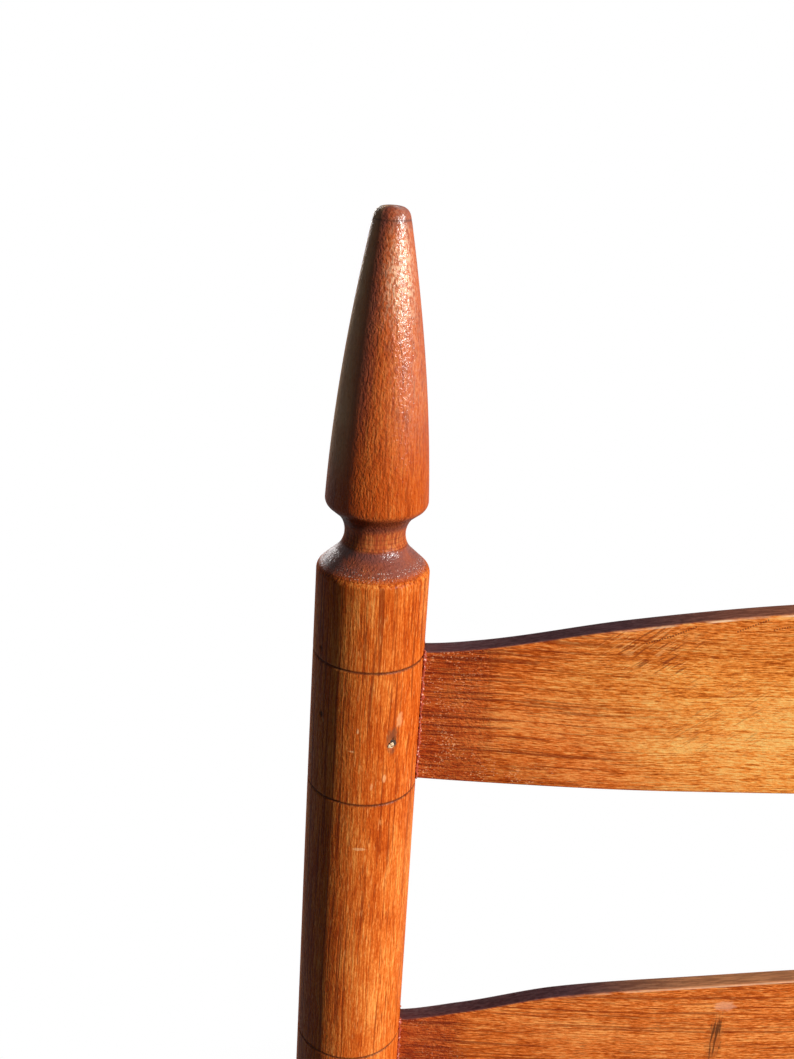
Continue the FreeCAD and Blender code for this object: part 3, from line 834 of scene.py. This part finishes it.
class Nodes:
    """Builds the nodes of one node tree."""

    def __init__(self, tree):
        self.tree = tree

    def node(self, kind, inputs, **settings):
        """New node with settings. Its inputs, by place or name, are linked to an output or set to a value."""
        node = self.tree.nodes.new(kind)
        for label, value in settings.items():
            setattr(node, label, value)
        for label, value in inputs.items():
            self.join(value, node.inputs[label])
        return node

    def join(self, value, socket):
        if isinstance(value, bpy.types.NodeSocket):
            self.tree.links.new(value, socket)
        else:
            socket.default_value = value

    def maths(self, operation, *values):
        return self.node("ShaderNodeMath", dict(enumerate(values)), operation=operation).outputs[0]

    def times(self, product, *others):
        for other in others:
            product = self.maths("MULTIPLY", product, other)
        return product

    def vector(self, operation, *vectors, output=0):
        node = self.node("ShaderNodeVectorMath", dict(enumerate(vectors)), operation=operation)
        return node.outputs[output]

    def remap(self, value, low, high, to_low=0.0, to_high=1.0):
        inputs = {"Value": value, "From Min": low, "From Max": high, "To Min": to_low, "To Max": to_high}
        return self.node("ShaderNodeMapRange", inputs, interpolation_type="SMOOTHSTEP").outputs[0]

    def seen_straight(self):
        """1 for the rays that come straight from the camera, off a shiny surface or through a clear one."""
        rays = self.node("ShaderNodeLightPath", {}).outputs
        seen = self.maths("MAXIMUM", rays["Is Camera Ray"], rays["Is Glossy Ray"])
        return self.maths("MAXIMUM", seen, rays["Is Transmission Ray"])


class Finish(Nodes):
    """Builds one material around its shader. Its colour is painted on in layers."""

    def __init__(self, name, settings):
        self.material = bpy.data.materials.new(name)
        self.material.use_nodes = True
        super().__init__(self.material.node_tree)
        self.shader = self.tree.nodes["Principled BSDF"]
        self.colour = None
        self.level = None
        for label, value in settings.items():
            self.shader.inputs[label].default_value = value

    def read(self, name, kind="Fac"):
        """Attribute of the piece: a number as Fac, a vector as Vector."""
        return self.node("ShaderNodeAttribute", {}, attribute_name=name).outputs[kind]

    def noise(self, place, stretch, scale, detail=2.0, roughness=0.5):
        """Noise at a place that is first multiplied by stretch, so that small numbers draw it out."""
        drawn = self.vector("MULTIPLY", place, stretch)
        inputs = {"Vector": drawn, "Scale": scale, "Detail": detail, "Roughness": roughness}
        return self.node("ShaderNodeTexNoise", inputs).outputs[0]

    def blend(self, amount, first, second, mode="MIX"):
        node = self.node("ShaderNodeMix", {0: amount}, data_type="RGBA", blend_type=mode)
        for value, socket in ((first, node.inputs[6]), (second, node.inputs[7])):
            self.join((*value, 1) if isinstance(value, tuple) else value, socket)
        return node.outputs[2]

    def paint(self, tone, *amounts, mode="MIX"):
        """Lay a tone over the colour so far, as much as the product of the amounts."""
        self.colour = self.blend(self.times(*amounts), self.colour, tone, mode)

    def ramp(self, value, stops):
        """Colours at places between 0 and 1."""
        node = self.node("ShaderNodeValToRGB", {0: value})
        for index, (place, colour) in enumerate(stops):
            stop = node.color_ramp.elements[index] if index < 2 else node.color_ramp.elements.new(place)
            stop.position = place
            stop.color = (*colour, 1)
        return node.outputs[0]

    def bump(self, height, distance):
        inputs = {"Height": height, "Distance": distance, "Strength": 1.0}
        return self.node("ShaderNodeBump", inputs).outputs[0]

    def finished(self, **inputs):
        """The material, with its colour and the inputs, underscores for spaces, joined to the shader."""
        for label, value in {"Base_Color": self.colour, **inputs}.items():
            self.join(value, self.shader.inputs[label.replace("_", " ")])
        return self.material


post_tones = ((0.0, (0.34, 0.040, 0.003)), (0.3, (0.50, 0.077, 0.007)), (0.5, (0.60, 0.115, 0.013)),
              (0.7, (0.71, 0.175, 0.027)), (1.0, (0.88, 0.32, 0.070)))
slat_tones = ((0.0, (0.33, 0.044, 0.003)), (0.3, (0.56, 0.100, 0.010)), (0.5, (0.72, 0.151, 0.020)),
              (0.7, (0.87, 0.218, 0.040)), (1.0, (1.0, 0.38, 0.095)))
# Golden colours of the slats' middle: partly the wood's colour, partly painted sheen
golden_and_sheen_tones = ((0.0, (0.40, 0.075, 0.006)), (0.3, (0.78, 0.205, 0.025)), (0.5, (0.95, 0.30, 0.048)),
                (0.7, (1.0, 0.40, 0.085)), (1.0, (1.0, 0.58, 0.17)))
rail_tones = ((0.0, (0.21, 0.115, 0.050)), (0.3, (0.35, 0.205, 0.090)), (0.5, (0.44, 0.27, 0.125)),
              (0.7, (0.54, 0.34, 0.17)), (1.0, (0.68, 0.47, 0.26)))
rush_tones = ((0.0, (0.27, 0.16, 0.055)), (0.4, (0.50, 0.34, 0.135)), (0.75, (0.66, 0.49, 0.23)),
              (1.0, (0.78, 0.63, 0.36)))
filler_tones = ((0.0, (0.10, 0.045, 0.02)), (0.45, (0.50, 0.30, 0.15)), (1.0, (0.80, 0.60, 0.38)))
finial_tone = (0.47, 0.076, 0.006)
thick_tone = (0.80, 0.64, 0.60)
# Colour of the painted highlight on the finial
highlight_tone = (1.0, 0.62, 0.38)
line_tone = (0.22, 0.026, 0.004)
fleck_tone = (0.93, 0.38, 0.11)
# Dirt colour, also used for painted shade; its purple is partly a painted sky reflection
dirt_and_shade_tone = (0.19, 0.052, 0.036)
# Colour of the pale specks on the shoulder: dust and painted glints
dust_and_glint_tone = (1.0, 0.80, 0.70)
scribe_tone = (0.085, 0.022, 0.010)
# Colour of the painted reflection on the finial's rim
rim_reflection_tone = (0.80, 0.47, 0.24)
dark_mark, brown_mark, pale_mark = (0.035, 0.012, 0.006), (0.20, 0.062, 0.025), (0.90, 0.46, 0.20)
slat_end_tone = (0.72, 0.58, 0.42)
# Colour of the painted glints near the slats' ends
painted_glint_tone = (1.0, 0.50, 0.24)
# Top edges near the posts: painted shade with a painted mauve sky reflection, partly dirt
shaded_edge_tone = (0.15, 0.075, 0.082)
edge_streak_tone = (0.45, 0.38, 0.40)
# Colour of the pale arris: partly wear, partly a painted highlight
arris_highlight_tone = (1.0, 0.68, 0.42)
saw_dark, saw_light, prick_tone = (0.26, 0.050, 0.012), (1.0, 0.48, 0.16), (0.16, 0.035, 0.012)
knot_tone, knot_streak_tone, patch_tone = (0.42, 0.12, 0.03), (0.10, 0.030, 0.010), (0.90, 0.40, 0.22)
beads_tone = (0.36, 0.050, 0.018)
# Colour of the beads' crumbs: partly grit, partly painted glints
beads_grit_and_glint_tone = (0.80, 0.42, 0.30)


def near_spot(finish, place, centre, half_sizes):
    """How much a place belongs to an oval spot, 1 in the middle and 0 outside, with an uneven edge."""
    away = finish.vector("SUBTRACT", place, centre)
    away = finish.vector("MULTIPLY", away, tuple(1 / half for half in half_sizes))
    length = finish.vector("LENGTH", away, output="Value")
    rough = finish.noise(place, (1, 1, 0.6), 1100, 1)
    return finish.remap(finish.maths("ADD", length, rough), 1.1, 1.75, 1.0, 0.0)


def wood_colour(finish, tones, figure, textures):
    """Paint stained wood from clouds, growth bands and fibres. Returns the grain's place and the fibres."""
    grain = finish.read("grain", "Vector")
    wander = finish.node("ShaderNodeTexNoise", {"Vector": grain, "Scale": 24, "Detail": 1}).outputs["Color"]
    wander = finish.vector("MULTIPLY", finish.vector("SUBTRACT", wander, (0.5, 0.5, 0.5)), mm(2, 2, 0))
    grain = finish.vector("ADD", grain, wander)
    level = 0.5
    for scale, drawn, share in ((26, 0.35, figure), *textures):
        texture = finish.noise(grain, (1, 1, drawn), scale, 2, 0.6)
        level = finish.maths("ADD", level, finish.times(finish.maths("SUBTRACT", texture, 0.5), share))
    finish.level = level
    finish.colour = finish.ramp(level, tones)
    return grain, texture


def varnished_wood(name, tones, figure, textures, marks):
    """Stained and varnished wood: streaked along the grain, with dark lines, pores and pale flecks."""
    finish = Finish(name, {"Coat Roughness": 0.24, "Specular IOR Level": 0.0})
    grain, fibres = wood_colour(finish, tones, figure, textures)
    lines = finish.noise(grain, (1, 1, 0.010), 1100, 2)
    finish.paint(line_tone, finish.remap(lines, 0.55, 0.64), 0.7)
    pores = finish.noise(grain, (1, 1, 0.09), 1900, 1)
    finish.paint(line_tone, finish.remap(pores, 0.62, 0.69), 0.55)
    flecks = finish.noise(grain, (1, 1, 0.13), 1600, 1)
    finish.paint(fleck_tone, finish.remap(flecks, 0.65, 0.72), 0.4)
    varnish = finish.read("varnish")
    thick = finish.remap(varnish, thin_varnish, finial_thinnest)
    finish.paint(thick_tone, thick, mode="MULTIPLY")
    marks(finish)
    peel = finish.noise(grain, (1, 1, 0.6), 1400, 2, 0.6)
    relief = finish.maths("ADD", finish.times(fibres, 0.6), finish.times(lines, -0.6))
    relief = finish.maths("ADD", relief, finish.times(peel, finish.remap(thick, 0.0, 1.0, 0.8, 2.2)))
    return finish.finished(Roughness=finish.remap(fibres, 0.3, 0.7, 0.42, 0.58), Coat_Weight=varnish,
                           Coat_Normal=finish.bump(peel, 0.27 * MM), Normal=finish.bump(relief, 0.22 * MM))


def post_marks(finish):
    """What posts and rungs show over their grain: evener wood under the finial's thick varnish, with a
    painted highlight of pale specks; dirt in the lines; darkening round the neck, with painted shade under
    the cone's lip; dirt and painted shade on the shoulder, in a purplish tone that is partly a painted sky
    reflection;
    painted shade down one side of the finial and a painted reflection on its side towards +X; and pale specks
    in the shoulder's varnish, partly dust and partly painted glints."""
    grain = finish.read("grain", "Vector")
    finish.paint(finial_tone, finish.remap(finish.read("varnish"), thin_varnish, finial_thinnest, 0.0, 0.4))
    # Painted highlight: pale specks laid where the finial's highlight falls
    flecks = finish.noise(grain, (1, 1, 0.5), 1500, 1)
    finish.paint(highlight_tone, finish.read("haze"), finish.remap(flecks, 0.42, 0.62, 0.2, 1.0))
    clouds = finish.noise(grain, (1, 1, 1), 160, 3, 0.6)
    # Dirt and painted shade: the bands on the rear posts and the slats' top edges
    finish.paint(dirt_and_shade_tone, finish.read("grime"), finish.remap(clouds, 0.2, 0.6, 0.6, 1.0))
    # Painted reflection on the finial's rim, mottled
    finish.paint(rim_reflection_tone, finish.read("yellowed"), finish.remap(clouds, 0.2, 0.7, 0.55, 0.9))
    # The dark lines, and painted shade under the cone's lip
    finish.paint(scribe_tone, finish.read("line"), 0.9)
    # Pale specks on the shoulder, partly dust and partly painted glints
    crumbs = finish.noise(finish.read("place", "Vector"), (1, 1, 1), 2500, 1)
    finish.paint(dust_and_glint_tone, finish.remap(crumbs, 0.63, 0.70), finish.read("dust"))


# Marks on the right rear post: degrees from straight behind towards the slats, height from the shoulder, half
# width, half height (all three in millimetres), tone and strength
worn_spots = (
    (23.5, -51.5, 2.0, 4.6, brown_mark, 0.75),
    (24.8, -51.6, 0.55, 0.9, dark_mark, 0.95),
    (-63.1, -24.6, 0.75, 1.1, dark_mark, 0.9),
    (-58.1, -46.1, 0.9, 1.2, dark_mark, 0.9),
    (-54.5, -47.6, 0.5, 0.9, pale_mark, 0.5),
    (-13.0, -47.8, 0.4, 1.1, pale_mark, 0.8),
    (-18.5, -55.0, 1.0, 0.35, pale_mark, 0.6),
    (17.0, -64.5, 0.6, 1.6, pale_mark, 0.55),
    (31.0, -45.0, 1.1, 2.6, pale_mark, 0.45),
    (-5.0, -89.6, 2.2, 0.5, pale_mark, 0.55),
    (4.0, -67.0, 0.5, 1.2, pale_mark, 0.4),
    (27.3, 89.0, 0.8, 1.0, dark_mark, 0.5),
    (-20.0, 77.3, 4.2, 0.28, dark_mark, 0.45),
    (44.0, 74.5, 2.4, 0.25, dark_mark, 0.4),
    (44.0, 72.8, 2.0, 0.22, dark_mark, 0.35),
)


def worn_post_marks(finish):
    place = finish.read("place", "Vector")
    for angle, rise, half_width, half_height, tone, strength in worn_spots:
        turn = math.radians(angle)
        reach = rear_radius(shoulder + rise * MM) if rise < 0 else cone_radius(rise * MM)
        centre = (-reach * math.sin(turn), reach * math.cos(turn), shoulder + rise * MM)
        spot = near_spot(finish, place, centre, mm(half_width, half_width, half_height))
        finish.paint(tone, spot, strength)
    post_marks(finish)


def slat_marks(gold, lit_edge_tone, special=None):
    """What the slats show over their grain: redder ends with painted glints near the posts, a golden middle
    that is partly the wood's colour and partly painted sheen, top edges that are partly dirt and partly
    painted shade, with a painted mauve sky reflection, and a pale arris, partly wear and partly a painted
    highlight.

    gold says how far the middle turns golden, the second argument is the top edge's colour there, painted
    lighter where the edge is lit than the painted shade nearer the ends, and special adds the marks of one
    slat."""
    def marks(finish):
        grain = finish.read("grain", "Vector")
        from_post = finish.read("from_post")
        up = finish.node("ShaderNodeSeparateXYZ", {0: finish.read("place", "Vector")}).outputs[1]
        clouds = finish.noise(grain, (1, 1, 0.6), 45, 2)
        reach = finish.maths("ADD", from_post, finish.times(clouds, 60 * MM))
        reach = finish.maths("ADD", reach, finish.remap(up, *mm(0, 40, -14, 6)))
        lower = finish.remap(up, *mm(40, 60), 1.0, 0.45)
        # Golden middle away from the posts: partly the wood's colour, partly painted sheen
        golden = finish.ramp(finish.level, golden_and_sheen_tones)
        finish.paint(golden, finish.remap(reach, *mm(80, 145)), gold, lower)
        near = finish.remap(reach, *mm(50, 80), 1.0, 0.0)
        finish.paint(slat_end_tone, near, 0.9, mode="MULTIPLY")
        # Painted glints: pale dots in the varnish near the posts
        speckles = finish.noise(grain, (1, 1, 0.7), 2100, 1)
        dense = finish.remap(finish.noise(grain, (1, 1, 1), 150), 0.4, 0.6)
        finish.paint(painted_glint_tone, finish.remap(speckles, 0.61, 0.70), near, dense, 0.8)
        if special is not None:
            special(finish)
        uneven = finish.remap(finish.noise(grain, (1, 1, 0.2), 300, 2), 0.36, 0.5)
        # Pale arris: partly wear, partly a painted highlight
        finish.paint(arris_highlight_tone, finish.remap(from_post, *mm(60, 110)), finish.read("arris"), uneven)
        # Painted shade on the top edge, darkest near the posts where it slopes away from the light, painted
        # lighter along the lit crest
        edge = finish.blend(finish.remap(from_post, *mm(70, 125)), shaded_edge_tone, lit_edge_tone)
        streaks = finish.noise(grain, (1, 1, 0.04), 1500, 2)
        edge = finish.blend(finish.remap(streaks, 0.38, 0.62, 0.6, 0.0), edge, edge_streak_tone, "MULTIPLY")
        finish.paint(edge, finish.read("grime"))
    return marks


def sloped(finish, place, up, along):
    """Distance of a place, as (out, up, along), in a direction and square to it, both in the slat's face."""
    directions = ((0, up, along), (0, along, -up))
    return [finish.vector("DOT_PRODUCT", place, direction, output="Value") for direction in directions]


def dotted_line(finish, place, start, end):
    """Row of pricks from start to end, both as (up, along) in millimetres: 1 on a dot and 0 beside it."""
    run = (end[0] - start[0], end[1] - start[1])
    length = math.hypot(*run)
    middle = mm((start[0] + end[0]) / 2, (start[1] + end[1]) / 2)
    away = finish.vector("SUBTRACT", place, (0, *middle))
    along, across = sloped(finish, away, run[0] / length, run[1] / length)
    dots = finish.remap(finish.maths("SINE", finish.times(along, 2 * math.pi / (0.8 * MM))), -0.6, 0.3)
    width = finish.remap(finish.maths("ABSOLUTE", across), *mm(0.12, 0.38), 1.0, 0.0)
    ends = finish.remap(finish.maths("ABSOLUTE", along), *mm(length / 2, length / 2 + 0.3), 1.0, 0.0)
    return finish.times(dots, width, ends)


# On the top slat, in millimetres up from its bottom edge and along it from the middle: patches of saw marks,
# each with its place, half sizes and strength, and trails of pricks, each with its start and end
saw_patches = ((50, 84, 9, 17, 0.75), (28, 62, 15, 22, 0.35))
prick_trails = (
    ((54.5, 81), (58.3, 73.5)),
    ((57, 61), (61.3, 52)),
    ((58, 50), (59.2, 45)),
    ((52, 88), (55, 80)),
)
saw_slope = math.radians(38)
through_slat = 60


def saw_marks(finish):
    """Scratches of a saw that run up towards the middle, and trails of pricks near the slat's top edge."""
    place = finish.read("place", "Vector")
    across, along = sloped(finish, place, math.cos(saw_slope), math.sin(saw_slope))
    turned = finish.node("ShaderNodeCombineXYZ", {0: across, 1: along}).outputs[0]
    cuts = finish.noise(turned, (1, 0.07, 1), 1500, 1)
    faint = finish.remap(finish.noise(place, (1, 1, 1), 130, 1), 0.36, 0.52)
    for up, on, half_up, half_on, strength in saw_patches:
        patch = near_spot(finish, place, mm(0, up, on), mm(through_slat, half_up, half_on))
        patch = finish.times(patch, faint)
        finish.paint(saw_dark, finish.remap(cuts, 0.57, 0.63), patch, strength)
        finish.paint(saw_light, finish.remap(cuts, 0.43, 0.36), patch, 0.6 * strength)
    for start, end in prick_trails:
        finish.paint(prick_tone, dotted_line(finish, place, start, end), 0.85)


def knot_marks(finish):
    """A knot with upright streaks and a pale patch of filler above it, on the second slat."""
    place = finish.read("place", "Vector")
    knot = near_spot(finish, place, mm(0, 44, 43), mm(through_slat, 11, 2.6))
    finish.paint(knot_tone, knot, 0.45)
    streaks = finish.noise(place, (1, 0.07, 1), 1300, 2)
    finish.paint(knot_streak_tone, finish.remap(streaks, 0.48, 0.60), knot, 0.85)
    finish.paint(patch_tone, near_spot(finish, place, mm(0, 59, 41.5), mm(through_slat, 2.0, 3.8)), 0.6)


def rush_material():
    """Twisted rush: pale tan and greenish brown, with fine lengthwise fibres on each strand."""
    finish = Finish("rush", {"Roughness": 0.7, "Specular IOR Level": 0.25})
    grain = finish.read("grain", "Vector")
    fibres = finish.noise(grain, (1, 1, 0.05), 1400, 3, 0.6)
    patches = finish.noise(grain, (1, 1, 0.6), 40, 2)
    level = finish.maths("ADD", finish.times(fibres, 0.6), finish.times(patches, 0.5))
    level = finish.maths("ADD", level, finish.times(finish.read("tone"), 0.3))
    finish.colour = finish.ramp(finish.remap(level, 0.35, 1.0), rush_tones)
    return finish.finished(Normal=finish.bump(fibres, 0.25 * MM))


def bead_material():
    """Dried varnish, dark red, with lighter crumbs that are partly grit and partly painted glints."""
    finish = Finish("joint_beads", {"Roughness": 0.45, "Specular IOR Level": 0.3})
    crumbs = finish.noise(finish.read("grain", "Vector"), (1, 1, 1), 1500, 1)
    finish.colour = beads_tone
    # Lighter crumbs: partly grit, partly painted glints
    finish.paint(beads_grit_and_glint_tone, finish.remap(crumbs, 0.60, 0.70))
    return finish.finished()


def filler_material():
    """Old putty, tan and crumbly."""
    finish = Finish("pin_filler", {"Roughness": 0.8, "Specular IOR Level": 0.2})
    crumbs = finish.noise(finish.read("grain", "Vector"), (1, 1, 1), 1300, 2)
    finish.colour = finish.ramp(finish.remap(crumbs, 0.3, 0.6), filler_tones)
    return finish.finished(Normal=finish.bump(crumbs, 0.3 * MM))


# Bands, patches, mottle and fibres of the wood: scale, how far each is drawn out along the grain, strength
post_textures = ((300, 0.05, 0.6), (120, 0.4, 0.6), (1700, 0.5, 0.8), (2100, 0.030, 1.25), (3300, 0.06, 1.15))
slat_textures = ((300, 0.05, 0.7), (120, 0.4, 0.7), (1700, 0.4, 0.5), (4200, 0.10, 2.3), (2600, 0.045, 2.0))

post_wood = varnished_wood("post_wood", post_tones, 0.9, post_textures, post_marks)
worn_post_wood = varnished_wood("worn_post_wood", post_tones, 0.9, post_textures, worn_post_marks)
# Each slat: share of golden middle (partly painted sheen), its top edge's painted lit colour, its own marks
slat_woods = [
    varnished_wood(name, slat_tones, figure, slat_textures, slat_marks(*looks))
    for name, figure, looks in (
        ("slat_1_wood", 0.9, (1.0, (0.44, 0.165, 0.095), saw_marks)),
        ("slat_2_wood", 0.9, (0.12, (0.70, 0.30, 0.13), knot_marks)),
        ("slat_wood", 1.1, (0.5, (0.60, 0.26, 0.13))),
    )
]
rung_wood = varnished_wood("rung_wood", post_tones, 1.2, post_textures, post_marks)
rail_wood = varnished_wood("rail_wood", rail_tones, 1.2, post_textures, post_marks)
rush = rush_material()
filler = filler_material()

for side_name, side in sides.items():
    rear_post(side_name, side, worn_post_wood if side_name == "right" else post_wood)
    front_post(side_name, side, post_wood)
    pin_filler(side_name, side, filler)
for number in range(4):
    slat(number, slat_woods[min(number, 2)])
joint_beads(bead_material())
all_rungs(rung_wood, rail_wood)
seat_middle = sum(seat_corner(front, side) for front in (True, False) for side in (-1, 1)) / 4
middle_top = seat_rail_height + side_rail_lift / 2 + rush_half + seat_crown
weaver = np.random.default_rng(5)
rush_pieces = [rush_field(name, rush, seat_middle, middle_top, weaver) for name in seat_fields()]
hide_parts("rush_seat")
for name in seat_fields():
    stuffing(name, rush, seat_middle, middle_top)

pin_finish = Finish("pin_steel", {"Base Color": (0.10, 0.07, 0.055, 1), "Metallic": 1.0, "Roughness": 0.6})
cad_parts["slat_pins"].data.materials.clear()
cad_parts["slat_pins"].data.materials.append(pin_finish.material)


# Floor, light and camera
floor_mesh = bpy.data.meshes.new("floor")
floor_mesh.from_pydata([(-6, -6, 0), (6, -6, 0), (6, 6, 0), (-6, 6, 0)], [], [(0, 1, 2, 3)])
floor = bpy.data.objects.new("floor", floor_mesh)
bpy.context.scene.collection.objects.link(floor)


def floor_material():
    """Pale floor that fades to plain white away from the chair for the rays that show it."""
    finish = Finish("floor", {"Roughness": 0.9, "Specular IOR Level": 0.0})
    finish.colour = finish.remap(finish.seen_straight(), 0.0, 1.0, 0.15, 0.85)
    place = finish.node("ShaderNodeTexCoord", {}).outputs["Object"]
    away = finish.vector("LENGTH", place, output="Value")
    white = finish.times(finish.remap(away, 0.35, 0.9, 0.6, 1.0), finish.seen_straight())
    glow = finish.node("ShaderNodeEmission", {"Color": (1, 1, 1, 1), "Strength": 1.0}).outputs[0]
    both = finish.node("ShaderNodeMixShader", {0: white, 1: finish.shader.outputs[0], 2: glow}).outputs[0]
    finish.join(both, finish.tree.nodes["Material Output"].inputs["Surface"])
    return finish.finished()


floor.data.materials.append(floor_material())

world = bpy.data.worlds.new("world")
bpy.context.scene.world = world
world.use_nodes = True
sky = Nodes(world.node_tree)
background = world.node_tree.nodes["Background"]
background.inputs["Color"].default_value = (1, 1, 1, 1)
sky.join(sky.remap(sky.seen_straight(), 0.0, 1.0, 0.035, 1.0), background.inputs["Strength"])


def sun(name, azimuth, elevation, strength, softness):
    """Sun lamp that shines from an azimuth, turned from +Y towards +X, and an elevation."""
    lamp = bpy.data.lights.new(name, "SUN")
    lamp.energy = strength
    lamp.angle = softness
    source = bpy.data.objects.new(name, lamp)
    bpy.context.scene.collection.objects.link(source)
    level = math.cos(elevation)
    towards = Vector((math.sin(azimuth) * level, math.cos(azimuth) * level, math.sin(elevation)))
    source.rotation_euler = towards.to_track_quat("Z", "Y").to_euler()


sun("key", math.radians(-51), math.radians(14), 5.0, math.radians(5))
sun("fill", math.radians(168), math.radians(12), 2.6, math.radians(25))

camera_at = (0.20701, 0.54118, 1.13214)
camera_heading = math.radians(-172.658)
camera_pitch = math.radians(-15.999)
camera_roll = math.radians(2.765)
focal_pixels = 1205.17
photo_height = 1059

forward = Vector((
    math.sin(camera_heading) * math.cos(camera_pitch),
    math.cos(camera_heading) * math.cos(camera_pitch),
    math.sin(camera_pitch),
))
level = forward.cross(Vector((0, 0, 1))).normalized()
upright = level.cross(forward)
right = level * math.cos(camera_roll) + upright * math.sin(camera_roll)
above = upright * math.cos(camera_roll) - level * math.sin(camera_roll)
camera_data = bpy.data.cameras.new("camera")
camera_data.sensor_width = 36
camera_data.lens = focal_pixels * 36 / photo_height
camera_data.clip_start = 0.02
camera = bpy.data.objects.new("camera", camera_data)
bpy.context.scene.collection.objects.link(camera)
camera.matrix_world = Matrix.Translation(camera_at) @ Matrix((right, above, -forward)).transposed().to_4x4()
bpy.context.scene.camera = camera
bpy.context.scene.view_settings.view_transform = "Standard"
